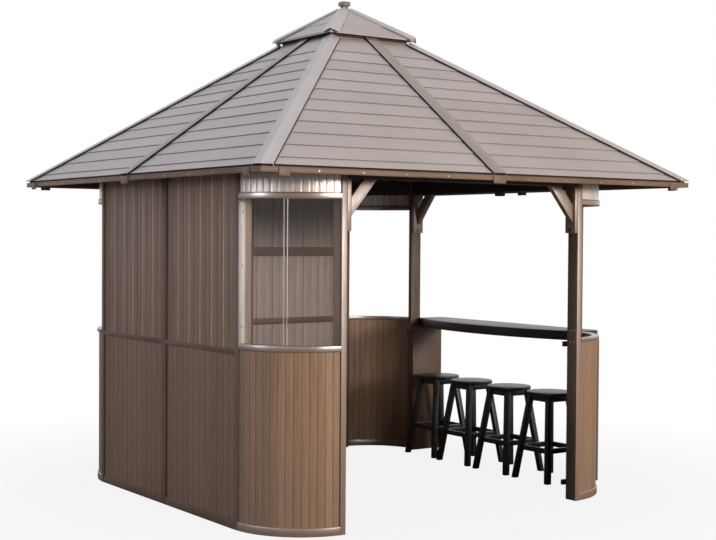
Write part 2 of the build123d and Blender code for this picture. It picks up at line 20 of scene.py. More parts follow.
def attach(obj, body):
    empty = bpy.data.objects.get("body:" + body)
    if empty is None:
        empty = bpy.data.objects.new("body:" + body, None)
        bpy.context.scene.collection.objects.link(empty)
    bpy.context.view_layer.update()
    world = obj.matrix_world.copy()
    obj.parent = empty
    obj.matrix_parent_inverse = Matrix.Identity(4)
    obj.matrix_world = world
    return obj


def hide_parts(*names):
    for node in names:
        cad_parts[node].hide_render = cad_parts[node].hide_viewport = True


LOG = logging.getLogger("hot_tub_gazebo")
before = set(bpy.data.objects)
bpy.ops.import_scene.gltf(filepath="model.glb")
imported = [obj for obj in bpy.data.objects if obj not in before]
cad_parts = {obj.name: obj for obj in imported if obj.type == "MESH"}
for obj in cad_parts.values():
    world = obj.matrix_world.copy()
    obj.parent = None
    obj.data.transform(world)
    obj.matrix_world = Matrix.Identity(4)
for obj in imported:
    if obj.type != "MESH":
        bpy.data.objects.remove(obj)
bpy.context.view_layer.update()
SEED = 11
SAME = 1e-5  # lengths that differ by less, in metres, are the same
SHARP = 1.0  # an edge that turns by more, in radians, is a corner
FLAT = math.radians(1.0)  # faces that turn by less are one face
STOOL_PLACES = ((1.368, 0.648), (1.350, 0.222), (1.336, -0.230), (1.336, -0.668))

Point = tuple[float, float, float]
Span = tuple[float, float]
Colour = tuple[float, float, float, float]
Vert, Edge, Face = bmesh.types.BMVert, bmesh.types.BMEdge, bmesh.types.BMFace
Socket, Node, NodeTree, Material = (bpy.types.NodeSocket, bpy.types.Node, bpy.types.NodeTree,
                                    bpy.types.Material)


class Corner(Enum):
    """Rounded corners, as quarter turns from the back right one."""

    BACK_RIGHT = 0
    BACK_LEFT = 1
    FRONT_LEFT = 2
    FRONT_RIGHT = 3


class Side(Enum):
    """Sides of the square plan, as quarter turns from the bar side."""

    RIGHT = 0
    BACK = 1
    LEFT = 2
    FRONT = 3


class Run(Enum):
    """The way that the grain of a piece runs."""

    UP = 2
    ALONG_X = 0
    ALONG_Y = 1


class Slot(Enum):
    """Material slots of the record."""

    POST_WOOD = "post_wood"
    WALL_BOARDS = "wall_boards"
    RAILS = "rails"
    ROOF_BOARDS = "roof_boards"
    ROOF_CAPS = "roof_caps"
    GLASS = "glass"
    DARK_WOOD = "dark_wood"


@dataclass(frozen=True)
class Plan:
    """Sizes that several sub-assemblies share."""

    wall: float = 1.380
    centre: float = 0.908
    corner_radius: float = 0.472
    post_width: float = 0.038
    post_depth: float = 0.092
    rail_proud: float = 0.008
    board: float = 0.018
    header_low: float = 2.053
    header_high: float = 2.1609
    eave: float = 1.650
    fascia_low: float = 2.058
    fascia_high: float = 2.088
    slope: float = 0.7145
    roof_thickness: float = 0.020
    course_step: float = 0.006
    plate: float = 0.006

    @property
    def post_far(self) -> float:
        """The corner side of the posts."""
        return self.centre + self.post_width

    @property
    def board_face(self) -> float:
        """The outside face of the wall boards."""
        return self.wall - self.rail_proud

    def roof_height(self, half: float, base: float = 0.0) -> float:
        """The height of a roof face.

        Args:
            half: level distance from the middle of the house.
            base: how far above the plane of the boards.

        Returns:
            The height above the ground.
        """
        return self.fascia_high + self.slope * (self.eave - half) + base


PLAN = Plan()


def quarter(turns: int) -> Matrix:
    """The turn that takes a piece to another side or corner."""
    return Matrix.Rotation(turns * math.pi / 2, 4, "Z")


def at_corner(corner: Corner) -> Matrix:
    """Where the centre of a corner's bend lies."""
    return quarter(corner.value) @ Matrix.Translation((PLAN.centre, PLAN.centre, 0))


def across_corner() -> Matrix:
    """The mirror that takes one post of a corner to the other."""
    return Matrix(((0, 1, 0, 0), (1, 0, 0, 0), (0, 0, 1, 0), (0, 0, 0, 1)))


def hip_section(x: float, z: float, half: float, height: float, fall: float) -> list[Point]:
    """The fold lines of a cap over a hip, seen along it.

    Args:
        x: how far out they start.
        z: height of the hip there.
        half: half the cap's width.
        height: how far the cap stands above the roof.
        fall: how far the roof drops per metre away from the hip.

    Returns:
        Where each line starts, from one side of the cap to the other.
    """
    low = z - fall * half
    return [(x, -half, low), (x, -half, low + height), (x, 0, z + height), (x, half, low + height),
            (x, half, low)]


def axes(origin: Vector, along: Vector, across: Vector, up: Vector) -> Matrix:
    """A frame from its three edge vectors.

    Args:
        origin: where the frame starts.
        along: the first edge.
        across: the second edge.
        up: the third edge.

    Returns:
        The matrix that takes the unit cube there.
    """
    matrix = Matrix.Identity(4)
    for column, edge in enumerate((along, across, up, origin)):
        for row in range(3):
            matrix[row][column] = edge[row]
    return matrix


class Form:
    """A mesh while it is being shaped."""

    def __init__(self) -> None:
        """Starts with nothing in it."""
        self.bm = bmesh.new()
        self.tone = self.bm.verts.layers.float.new("tone")

    def block(self, low: Point, high: Point, edge: float = 0.0, segments: int = 2) -> "Form":
        """Adds a straight block with eased edges.

        Args:
            low: lowest corner.
            high: highest corner.
            edge: how wide the eased edges are.
            segments: steps across an eased edge.

        Returns:
            This form.
        """
        a, b = Vector(low), Vector(high)
        place = Matrix.Translation((a + b) / 2) @ Matrix.Diagonal((*(b - a), 1.0))
        made = bmesh.ops.create_cube(self.bm, size=1.0, matrix=place)["verts"]
        if edge:
            self.ease(edge, segments, dict.fromkeys(e for v in made for e in v.link_edges))
        return self

    def plank(self, origin: Vector, along: Vector, across: Vector, up: Vector) -> "Form":
        """Adds a slanted block from a corner and its three edges.

        Args:
            origin: the corner it starts at.
            along: edge along it.
            across: edge over its width.
            up: edge through its thickness.

        Returns:
            This form.
        """
        place = axes(origin, along, across, up) @ Matrix.Translation((0.5, 0.5, 0.5))
        bmesh.ops.create_cube(self.bm, size=1.0, matrix=place)
        return self

    def arc(self, inner: float, outer: float, low: float, high: float,
            start: float, stop: float, steps: int) -> "Form":
        """Adds a bar bent round the upright axis.

        Args:
            inner: its inside radius.
            outer: its outside radius.
            low: its underside.
            high: its top.
            start: the angle it begins at, in degrees.
            stop: the angle it ends at, in degrees.
            steps: flats round the bend.

        Returns:
            This form.
        """
        place = (Matrix.Rotation(math.radians(start), 4, "Z")
                 @ Matrix.Translation(((inner + outer) / 2, 0, (low + high) / 2))
                 @ Matrix.Rotation(math.pi / 2, 4, "X")
                 @ Matrix.Diagonal((outer - inner, high - low, 1.0, 1.0)))
        made = bmesh.ops.create_grid(self.bm, x_segments=1, y_segments=1, size=0.5, matrix=place)["verts"]
        section = [*made, *dict.fromkeys(e for v in made for e in v.link_edges), made[0].link_faces[0]]
        bmesh.ops.spin(self.bm, geom=section, cent=(0, 0, 0), axis=(0, 0, 1), dvec=(0, 0, 0),
                       angle=math.radians(stop - start), steps=steps, use_merge=False,
                       use_normal_flip=False, use_duplicate=False)
        return self.outward()

    def round_bar(self, radius: float, top_radius: float, low: float, high: float,
                  segments: int) -> "Form":
        """Adds a round bar or cone on the upright axis.

        Args:
            radius: at its foot.
            top_radius: at its head.
            low: height of its foot.
            high: height of its head.
            segments: flats round it.

        Returns:
            This form.
        """
        bmesh.ops.create_cone(self.bm, cap_ends=True, cap_tris=False, segments=segments,
                              radius1=radius, radius2=top_radius, depth=high - low,
                              matrix=Matrix.Translation((0, 0, (low + high) / 2)))
        return self

    def strip(self, profile: Sequence[Point]) -> tuple[list[Vert], list[Vert]]:
        """Adds a strip whose far side still lies on its near one.

        Args:
            profile: the points of its near side.

        Returns:
            The vertices of the near side and of the far one.
        """
        near = [self.bm.verts.new(p) for p in profile]
        line = [self.bm.edges.new(pair) for pair in zip(near, near[1:])]
        made = bmesh.ops.extrude_edge_only(self.bm, edges=line)["geom"]
        return near, [g for g in made if isinstance(g, Vert)]

    def folded(self, profile: Sequence[Point], run: Vector, sheet: float, bend: float) -> "Form":
        """Adds a folded sheet that runs straight.

        Args:
            profile: the fold lines at its start.
            run: the way and length that it runs.
            sheet: thickness, laid on the inside of the fold.
            bend: radius of the folds.

        Returns:
            This form.
        """
        points, far = self.strip(profile)
        bmesh.ops.translate(self.bm, vec=run, verts=far)
        near = set(points)
        folds = [e for v in points[1:-1] for e in v.link_edges
                 if not (e.verts[0] in near and e.verts[1] in near)]
        self.ease(bend, 2, folds)
        bmesh.ops.solidify(self.bm, geom=self.bm.faces[:], thickness=-sheet)
        return self.outward()

    def outward(self) -> "Form":
        """Turns every face outwards."""
        bmesh.ops.recalc_face_normals(self.bm, faces=self.bm.faces[:])
        return self

    def sideways(self) -> "Form":
        """Turns what faces up to face +X."""
        bmesh.ops.rotate(self.bm, verts=self.bm.verts[:], cent=(0, 0, 0),
                         matrix=Matrix.Rotation(math.pi / 2, 3, "Y"))
        return self

    def ease(self, width: float, segments: int, edges: Iterable[Edge]) -> "Form":
        """Rounds the given edges over.

        Args:
            width: how wide the eased edges are.
            segments: steps across an eased edge.
            edges: the edges.

        Returns:
            This form.
        """
        bmesh.ops.bevel(self.bm, geom=list(edges), offset=width, offset_type="OFFSET",
                        segments=segments, profile=0.5, affect="EDGES", clamp_overlap=True,
                        material=-1)
        return self

    def ease_where(self, width: float, segments: int, wanted: Callable[[Edge], bool]) -> "Form":
        """Rounds the edges that a test picks."""
        return self.ease(width, segments, [e for e in self.bm.edges if wanted(e)])

    def ease_sharp(self, width: float, segments: int = 2, above: float = 30.0) -> "Form":
        """Rounds all edges that turn by more than an angle in degrees."""
        limit = math.radians(above)
        return self.ease_where(width, segments, lambda e: e.calc_face_angle(0.0) > limit)

    def cut(self, point: Point, away: Point) -> "Form":
        """Takes off what lies beyond a plane and closes the cut.

        Args:
            point: a point on the plane.
            away: the way that the plane faces, towards what goes.

        Returns:
            This form.
        """
        everything = self.bm.verts[:] + self.bm.edges[:] + self.bm.faces[:]
        made = bmesh.ops.bisect_plane(self.bm, geom=everything, dist=1e-6, plane_co=point,
                                      plane_no=away, clear_outer=True, clear_inner=False)
        rim = [g for g in made["geom_cut"] if isinstance(g, Edge)]
        if rim:
            bmesh.ops.edgeloop_fill(self.bm, edges=rim)
        return self

    def between_hips(self, start: float = 0.0) -> "Form":
        """Cuts a piece of the right-hand side along both hips, which meet at a start."""
        return self.cut((start, 0, 0), (-1, 1, 0)).cut((start, 0, 0), (-1, -1, 0)).outward()

    def between_posts(self, near: float) -> "Form":
        """Cuts a bend about the corner's centre where it meets both posts."""
        return self.cut((near, 0, 0), (-1, 0, 0)).cut((0, near, 0), (0, -1, 0))

    def dress(self, finish_of: Callable[[Face], int]) -> "Form":
        """Gives each face one of the piece's finishes.

        Args:
            finish_of: the rule that picks it.

        Returns:
            This form.
        """
        for face in self.bm.faces:
            face.normal_update()
            face.material_index = finish_of(face)
        return self

    def add(self, other: "Form", place: Matrix | None = None, tone: float | None = None,
            finish: int | None = None) -> "Form":
        """Adds a copy of another form.

        Args:
            other: the form to copy.
            place: where the copy goes.
            tone: shade of the copy, from 0 to 1.
            finish: which of the piece's finishes it takes.

        Returns:
            This form.
        """
        verts, faces = len(self.bm.verts), len(self.bm.faces)
        mesh = bpy.data.meshes.new("copy")
        other.bm.to_mesh(mesh)
        if place is not None:
            mesh.transform(place)
            if place.determinant() < 0:
                mesh.flip_normals()
        self.bm.from_mesh(mesh)
        bpy.data.meshes.remove(mesh)
        self.tone = self.bm.verts.layers.float["tone"]
        self.bm.verts.ensure_lookup_table()
        self.bm.faces.ensure_lookup_table()
        if tone is not None:
            for v in self.bm.verts[verts:]:
                v[self.tone] = tone
        if finish is not None:
            for f in self.bm.faces[faces:]:
                f.material_index = finish
        return self

    def around(self, other: "Form", turns: Iterable[int] = range(4)) -> "Form":
        """Adds copies of another form round the house.

        Args:
            other: the form, where it belongs at no turn.
            turns: quarter turns of each copy.

        Returns:
            This form.
        """
        for turn in turns:
            self.add(other, quarter(turn))
        return self


def cad_copy(node: str, edge: float, segments: int = 2) -> Form:
    """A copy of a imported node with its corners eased.

    Args:
        node: name of the node.
        edge: how wide the eased edges are.
        segments: steps across an eased edge.

    Returns:
        The copy.
    """
    form = Form()
    form.bm.from_mesh(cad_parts[node].data)
    form.tone = form.bm.verts.layers.float["tone"]
    bmesh.ops.remove_doubles(form.bm, verts=form.bm.verts[:], dist=SAME)
    bmesh.ops.dissolve_limit(form.bm, angle_limit=FLAT, use_dissolve_boundaries=False,
                             verts=form.bm.verts[:], edges=form.bm.edges[:])
    return form.ease_sharp(edge, segments)


def linear(written: str) -> Colour:
    """The colour of a written #rrggbb as a shader takes it.

    Args:
        written: the colour.

    Returns:
        Its red, green and blue on a linear scale, and no transparency.
    """
    parts = [int(written[i:i + 2], 16) / 255 for i in (1, 3, 5)]
    r, g, b = (p / 12.92 if p <= 0.04045 else ((p + 0.055) / 1.055) ** 2.4 for p in parts)
    return (r, g, b, 1.0)


def settle(node: Node, **values: float | Colour) -> Node:
    """Sets inputs of a node.

    Args:
        node: the node.
        values: what each input gets, with underscores in names for spaces.

    Returns:
        The same node.
    """
    for name, value in values.items():
        node.inputs[name.replace("_", " ")].default_value = value
    return node


class Tree:
    """A node tree that is being wired."""

    def __init__(self, tree: NodeTree) -> None:
        """Takes the tree to add nodes to."""
        self.tree = tree

    def node(self, kind: str, **settings: object) -> Node:
        """Adds a node.

        Args:
            kind: Blender's name of the node.
            settings: its own settings.

        Returns:
            The node.
        """
        made = self.tree.nodes.new(kind)
        for name, value in settings.items():
            setattr(made, name, value)
        return made

    def wire(self, source: Socket, target: Socket) -> None:
        """Links one socket to another."""
        self.tree.links.new(source, target)

    def noise(self, vector: Socket, scale: float, detail: float, rough: float = 0.5) -> Socket:
        """A cloudy pattern.

        Args:
            vector: the coordinates it follows.
            scale: features per metre.
            detail: how many finer layers.
            rough: how strong those are.

        Returns:
            Its value, about 0.5 on average.
        """
        made = settle(self.node("ShaderNodeTexNoise"), Scale=scale, Detail=detail, Roughness=rough)
        self.wire(vector, made.inputs["Vector"])
        return made.outputs["Fac"]

    def stretch(self, value: Socket, low: float, high: float,
                to_low: float = 0.0, to_high: float = 1.0) -> Socket:
        """Takes a range of a value to another range, held at its ends.

        Args:
            value: the value.
            low: where the first range begins.
            high: where it ends.
            to_low: where the second range begins.
            to_high: where it ends.

        Returns:
            The value in the second range.
        """
        made = settle(self.node("ShaderNodeMapRange", clamp=True),
                      From_Min=low, From_Max=high, To_Min=to_low, To_Max=to_high)
        self.wire(value, made.inputs["Value"])
        return made.outputs["Result"]

    def sum(self, operation: str, first: Socket, second: Socket | float) -> Socket:
        """The outcome of a sum on two values.

        Args:
            operation: Blender's name of the sum.
            first: the first value.
            second: the second value or a plain number.

        Returns:
            The outcome.
        """
        made = self.node("ShaderNodeMath", operation=operation)
        self.wire(first, made.inputs[0])
        if isinstance(second, (int, float)):
            made.inputs[1].default_value = second
        else:
            self.wire(second, made.inputs[1])
        return made.outputs[0]

    def blend(self, mask: Socket, low: Colour | Socket, high: Colour | Socket) -> Socket:
        """A colour between two by a mask.

        Args:
            mask: 0 for the first colour and 1 for the second.
            low: the first colour.
            high: the second colour.

        Returns:
            The colour.
        """
        made = self.node("ShaderNodeMix", data_type="RGBA")
        self.wire(mask, made.inputs[0])
        for socket, colour in ((made.inputs[6], low), (made.inputs[7], high)):
            if isinstance(colour, tuple):
                socket.default_value = colour
            else:
                self.wire(colour, socket)
        return made.outputs[2]

    def coordinates(self) -> Socket:
        """The coordinates that every pattern follows."""
        return self.node("ShaderNodeTexCoord").outputs["Object"]

    def scaled(self, vector: Socket, factor: Socket) -> Socket:
        """Coordinates multiplied by a value.

        Args:
            vector: the coordinates.
            factor: the value.

        Returns:
            The larger or smaller coordinates.
        """
        made = self.node("ShaderNodeVectorMath", operation="SCALE")
        self.wire(vector, made.inputs[0])
        self.wire(factor, made.inputs["Scale"])
        return made.outputs[0]

    def shares(self, *parts: tuple[Socket, float]) -> Socket:
        """Several values added up.

        Args:
            parts: each value with its share.

        Returns:
            The sum of the shares.
        """
        total = self.sum("MULTIPLY", *parts[0])
        for value, share in parts[1:]:
            total = self.sum("ADD", total, self.sum("MULTIPLY", value, share))
        return total

    def tone(self) -> Socket:
        """The shade of each board or course, from 0 to 1."""
        return self.node("ShaderNodeAttribute", attribute_name="tone").outputs["Fac"]

    def surface(self, mask: Socket, first: Node, second: Node, output: str) -> None:
        """Ends the tree in one of two shaders.

        Args:
            mask: 0 for the first shader and 1 for the second.
            first: the first shader.
            second: the second shader.
            output: name of the tree's output node.
        """
        mix = self.node("ShaderNodeMixShader")
        for number, socket in enumerate((mask, first.outputs[0], second.outputs[0])):
            self.wire(socket, mix.inputs[number])
        self.wire(mix.outputs[0], self.tree.nodes[output].inputs["Surface"])


def open_group(name: str, setting: str, usual: float, gives: Sequence[str]) -> tuple[Tree, Node, Node]:
    """Starts a shared node group that takes coordinates and a number.

    Args:
        name: the group's name.
        setting: the number's name.
        usual: the number where a material gives none.
        gives: name of each output value.

    Returns:
        Its tree, its inputs and its outputs.
    """
    group = bpy.data.node_groups.new(name, "ShaderNodeTree")
    group.interface.new_socket(name="Coordinates", in_out="INPUT", socket_type="NodeSocketVector")
    number = group.interface.new_socket(name=setting, in_out="INPUT", socket_type="NodeSocketFloat")
    number.default_value = usual
    for title in gives:
        group.interface.new_socket(name=title, in_out="OUTPUT", socket_type="NodeSocketFloat")
    tree = Tree(group)
    return tree, tree.node("NodeGroupInput"), tree.node("NodeGroupOutput")


class Effects:
    """Node groups that several finishes use."""

    def __init__(self) -> None:
        """Builds each group once."""
        self.grain = self._grain()
        self.paint = self._paint()
        self.grime = self._grime()

    @staticmethod
    def _grain() -> NodeTree:
        """Fine streaks along a board, over slow clouds."""
        tree, takes, gives = open_group("board_grain", "Streaks per metre", 420.0,
                                        ["Streaks", "Clouds", "Relief"])
        place = takes.outputs["Coordinates"]
        scaled = tree.scaled(place, takes.outputs["Streaks per metre"])
        fine = tree.noise(scaled, scale=1.0, detail=3.0, rough=0.65)
        broad = tree.noise(scaled, scale=0.22, detail=2.0)
        clouds = tree.noise(place, scale=2.6, detail=3.0, rough=0.55)
        tree.wire(tree.stretch(tree.sum("ADD", fine, broad), low=0.72, high=1.28), gives.inputs["Streaks"])
        tree.wire(tree.stretch(clouds, low=0.32, high=0.68), gives.inputs["Clouds"])
        tree.wire(tree.stretch(fine, low=0.25, high=0.75), gives.inputs["Relief"])
        return tree.tree

    @staticmethod
    def _paint() -> NodeTree:
        """Sprayed paint: a pebbled film over slow clouds."""
        tree, takes, gives = open_group("sprayed_paint", "Pebbles per metre", 300.0, ["Pebbles", "Clouds"])
        place = takes.outputs["Coordinates"]
        scaled = tree.scaled(place, takes.outputs["Pebbles per metre"])
        clouds = tree.noise(place, scale=1.9, detail=4.0, rough=0.6)
        tree.wire(tree.noise(scaled, scale=1.0, detail=2.0), gives.inputs["Pebbles"])
        tree.wire(tree.stretch(clouds, low=0.3, high=0.7), gives.inputs["Clouds"])
        return tree.tree

    @staticmethod
    def _grime() -> NodeTree:
        """Dust and splashes that thin out above the ground."""
        tree, takes, gives = open_group("ground_grime", "Reach", 0.5, ["Grime"])
        place = takes.outputs["Coordinates"]
        parts = tree.node("ShaderNodeSeparateXYZ")
        tree.wire(place, parts.inputs[0])
        share = tree.sum("DIVIDE", parts.outputs["Z"], takes.outputs["Reach"])
        near = tree.stretch(share, low=0.0, high=1.0, to_low=1.0, to_high=0.0)
        patches = tree.stretch(tree.noise(place, scale=7.0, detail=4.0, rough=0.6), low=0.3, high=0.75)
        tree.wire(tree.sum("MULTIPLY", near, patches), gives.inputs["Grime"])
        return tree.tree


def open_material(name: str) -> tuple[Material, Tree, Node]:
    """A new material with its Principled shader.

    Args:
        name: the material's name.

    Returns:
        The material, its tree and the shader.
    """
    material = bpy.data.materials.new(name)
    material.use_nodes = True
    return material, Tree(material.node_tree), material.node_tree.nodes["Principled BSDF"]


def place_group(tree: Tree, group: NodeTree, coordinates: Socket, **values: float) -> Node:
    """Places a shared group in a material.

    Args:
        tree: the material's tree.
        group: the group.
        coordinates: the coordinates that it follows.
        values: its numbers, with underscores in names for spaces.

    Returns:
        The group's node.
    """
    made = settle(tree.node("ShaderNodeGroup", node_tree=group), **values)
    tree.wire(coordinates, made.inputs["Coordinates"])
    return made


@dataclass(frozen=True)
class Finish:
    """What boards and paint have in common."""

    name: str
    dark: str
    light: str
    roughness: float
    specular: float = 0.5
    gloss_index: float = 1.5
    coat: float = 0.0
    coat_roughness: float = 0.3
    metallic: float = 0.0
    depth: float = 0.0006
    tone_share: float = 0.35
    gloss_swing: float = 0.07

    def polish(self, tree: Tree, shader: Node, shine: Socket, relief: Socket) -> None:
        """Sets the gloss and the relief of a material.

        Args:
            tree: the material's tree.
            shader: the Principled shader.
            shine: where it is glossier, from 0 to 1.
            relief: its height, from 0 to 1.
        """
        gloss = tree.stretch(shine, 0.0, 1.0, self.roughness + self.gloss_swing,
                             self.roughness - self.gloss_swing)
        tree.wire(gloss, shader.inputs["Roughness"])
        settle(shader, Specular_IOR_Level=self.specular, IOR=self.gloss_index, Metallic=self.metallic)
        if self.coat:
            settle(shader, Coat_Weight=self.coat, Coat_Roughness=self.coat_roughness)
        bump = settle(tree.node("ShaderNodeBump"), Strength=1.0, Distance=self.depth)
        tree.wire(relief, bump.inputs["Height"])
        tree.wire(bump.outputs["Normal"], shader.inputs["Normal"])


@dataclass(frozen=True)
class BoardFinish(Finish):
    """Stained boards with a fine grain."""

    dusty: str = "#6f665c"
    streaks: float = 380.0
    along: float = 0.03
    streak_share: float = 0.62
    cloud_share: float = 0.2
    shade_span: Span = (0.1, 1.1)
    grime_reach: float = 0.55
    grime_share: float = 0.35

    def make(self, effects: Effects, run: Run = Run.UP) -> Material:
        """Makes the material for one way of the grain.

        Args:
            effects: the shared node groups.
            run: the way the grain runs.

        Returns:
            The material.
        """
        material, tree, shader = open_material(f"{self.name}_{run.name.lower()}")
        coordinates = tree.coordinates()
        mapping = tree.node("ShaderNodeMapping")
        scale = [1.0, 1.0, 1.0]
        scale[run.value] = self.along
        mapping.inputs["Scale"].default_value = scale
        tree.wire(coordinates, mapping.inputs["Vector"])
        grain = place_group(tree, effects.grain, mapping.outputs["Vector"], Streaks_per_metre=self.streaks)
        grime = place_group(tree, effects.grime, coordinates, Reach=self.grime_reach)
        shade = tree.shares((grain.outputs["Streaks"], self.streak_share),
                            (grain.outputs["Clouds"], self.cloud_share), (tree.tone(), self.tone_share))
        colour = tree.blend(tree.stretch(shade, *self.shade_span), linear(self.dark), linear(self.light))
        settled = tree.sum("MULTIPLY", grime.outputs["Grime"], self.grime_share)
        tree.wire(tree.blend(settled, colour, linear(self.dusty)), shader.inputs["Base Color"])
        self.polish(tree, shader, grain.outputs["Streaks"], grain.outputs["Relief"])
        return material


@dataclass(frozen=True)
class PaintFinish(Finish):
    """Painted sheet metal."""

    coat_roughness: float = 0.25
    depth: float = 0.00025
    tone_share: float = 0.3
    gloss_swing: float = -0.05
    pebbles: float = 300.0
    cloud_share: float = 0.5
    pebble_share: float = 0.2
    shade_span: Span = (0.1, 0.95)

    def make(self, effects: Effects) -> Material:
        """Makes the material.

        Args:
            effects: the shared node groups.

        Returns:
            The material.
        """
        material, tree, shader = open_material(self.name)
        paint = place_group(tree, effects.paint, tree.coordinates(), Pebbles_per_metre=self.pebbles)
        shade = tree.shares((paint.outputs["Clouds"], self.cloud_share), (tree.tone(), self.tone_share),
                            (paint.outputs["Pebbles"], self.pebble_share))
        colour = tree.blend(tree.stretch(shade, *self.shade_span), linear(self.dark), linear(self.light))
        tree.wire(colour, shader.inputs["Base Color"])
        self.polish(tree, shader, paint.outputs["Clouds"], paint.outputs["Pebbles"])
        return material


@dataclass(frozen=True)
class GlassFinish:
    """Clear panes that let light through to what is behind."""

    name: str = "clear_pane"
    tint: str = "#f4f7f6"
    roughness: float = 0.01
    smears: float = 0.03
    smears_per_metre: float = 9.0
    bending: float = 1.2

    def make(self, effects: Effects) -> Material:
        """Makes the material, with a faint film of smears.

        Args:
            effects: the shared node groups.

        Returns:
            The material.
        """
        material, tree, shader = open_material(self.name)
        film = place_group(tree, effects.paint, tree.coordinates(), Pebbles_per_metre=self.smears_per_metre)
        gloss = tree.stretch(film.outputs["Clouds"], 0.0, 1.0, self.roughness, self.roughness + self.smears)
        tree.wire(gloss, shader.inputs["Roughness"])
        settle(shader, Base_Color=linear(self.tint), Transmission_Weight=1.0, IOR=self.bending)
        path = tree.node("ShaderNodeLightPath")
        clear = tree.node("ShaderNodeBsdfTransparent")
        tree.surface(path.outputs["Is Shadow Ray"], shader, clear, "Material Output")
        return material


class Finishes:
    """Every material of the house."""

    def __init__(self) -> None:
        """Makes the shared effects and then each material."""
        effects = Effects()
        # Near-black timber for the beams, rafters, collar and roof decks: painted shade under the roof.
        beams = BoardFinish("shade_darkened_beam_timber", "#2c221c", "#46382e", 0.55, dusty="#4a4038", streaks=300.0,
                            specular=0.15)
        black = BoardFinish("black_lacquered_wood", "#090808", "#171515", 0.42, dusty="#2c2a28",
                            streaks=260.0, depth=0.0004, coat=0.15)
        self.beams = {run: beams.make(effects, run) for run in Run}
        self.black = {run: black.make(effects, run) for run in (Run.UP, Run.ALONG_Y)}
        self.boards = BoardFinish("wall_board", "#614634", "#81614b", 0.42).make(effects)
        # Pale colour on the main joint edges of the wall boards: a painted highlight, used only in the upper
        # bays.
        self.edges = BoardFinish("board_edge_highlight", "#a08b7e", "#c4b0a4", 0.34, dusty="#8f857c",
                                 specular=0.9).make(effects)
        self.bent = BoardFinish("satin_bent_board", "#7b5f49", "#9f8167", 0.4, specular=0.3).make(effects)
        # The valance boards are the same boards as the half walls, given a much lighter colour as a painted
        # sheen where the lamps glint above eye height.
        self.valance = BoardFinish("valance_board_painted_sheen", "#a08a7c", "#c9b4a5", 0.3, specular=1.0,
                                   gloss_index=1.85, coat=0.8).make(effects)
        # Inside faces of the wall boards are painted lighter and greyer than the outside: a painted milky
        # reflection of the window glass.
        self.inner = BoardFinish("inner_board_painted_reflection", "#83716a", "#a4928a", 0.5).make(effects)
        # Lighter, glossier timber for the front faces of the front posts and the knee braces: painted light.
        self.posts = BoardFinish("post_timber", "#705848", "#997e69", 0.38, streaks=300.0, specular=0.9,
                                 gloss_index=1.65).make(effects)
        # Darker copy of the post timber for the other post faces: painted shade.
        self.shaded_post_sides = BoardFinish("shaded_post_side_timber", "#5c4a3f", "#7a6557", 0.5, streaks=300.0,
                                      specular=0.3).make(effects)
        self.rails = PaintFinish("brown_satin_rail", "#664c39", "#876951", 0.3, specular=1.0,
                                 gloss_index=1.8, coat=0.5).make(effects)
        self.frames = PaintFinish("matt_brown_frame", "#5b473b", "#745d4f", 0.5, specular=0.2).make(effects)
        self.roof = PaintFinish("taupe_roof_sheet", "#988d88", "#b0a6a1", 0.45).make(effects)
        # One cap sheet in two copies: the hip caps painted lighter as painted light, the rib caps darker as
        # painted shade.
        self.caps = PaintFinish("lit_roof_cap_sheet", "#a39d9b", "#bfbab9", 0.42).make(effects)
        self.ribs = PaintFinish("shaded_rib_cap_sheet", "#82756d", "#9a8e86", 0.42).make(effects)
        self.gap = PaintFinish("shaded_cap_side", "#1d1815", "#332c28", 0.6, specular=0.2).make(effects)
        # Dark colour in the mock joints of the wall boards: painted shade in the grooves.
        self.groove_shade = PaintFinish("shaded_board_groove", "#3a2d25", "#4d3e34", 0.6, specular=0.2).make(effects)
        self.edge = PaintFinish("brown_eave_strip", "#66503f", "#8d7562", 0.45, specular=0.2).make(effects)
        self.finial = PaintFinish("finial_paint", "#76675d", "#93847a", 0.4).make(effects)
        self.screws = PaintFinish("bright_screw_head", "#b5aca4", "#e2dcd6", 0.3, metallic=0.8).make(effects)
        self.bolts = PaintFinish("dark_bolt_head", "#2a2523", "#4a423c", 0.4, metallic=0.5).make(effects)
        self.jamb = PaintFinish("pale_window_strip", "#8d8783", "#aaa39f", 0.55, specular=0.3).make(effects)
        self.joint = PaintFinish("pale_joint_strip", "#a39c98", "#c4beba", 0.4).make(effects)
        self.glass = GlassFinish().make(effects)


def show(name: str, form: Form, finishes: Sequence[Material], slot: Slot,
         stands_for: Sequence[str] = (), smooth: float = 38.0) -> None:
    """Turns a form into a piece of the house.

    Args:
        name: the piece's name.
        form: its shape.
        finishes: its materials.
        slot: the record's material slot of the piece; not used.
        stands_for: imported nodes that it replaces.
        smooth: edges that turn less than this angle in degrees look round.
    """
    mesh = bpy.data.meshes.new(name)
    form.bm.to_mesh(mesh)
    form.bm.free()
    for material in finishes:
        mesh.materials.append(material)
    mesh.shade_smooth()
    mesh.set_sharp_from_angle(angle=math.radians(smooth))
    piece = bpy.data.objects.new(name, mesh)
    bpy.context.scene.collection.objects.link(piece)
    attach(piece, "root")
    if stands_for:
        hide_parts(*stands_for)
    LOG.info("%s: %d faces", name, len(mesh.polygons))


def repaint(node: str, finish: Material) -> None:
    """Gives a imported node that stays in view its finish.

    Args:
        node: name of the node.
        finish: its material.
    """
    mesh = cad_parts[node].data
    mesh.materials.clear()
    mesh.materials.append(finish)
    LOG.info("%s keeps its own shape", node)


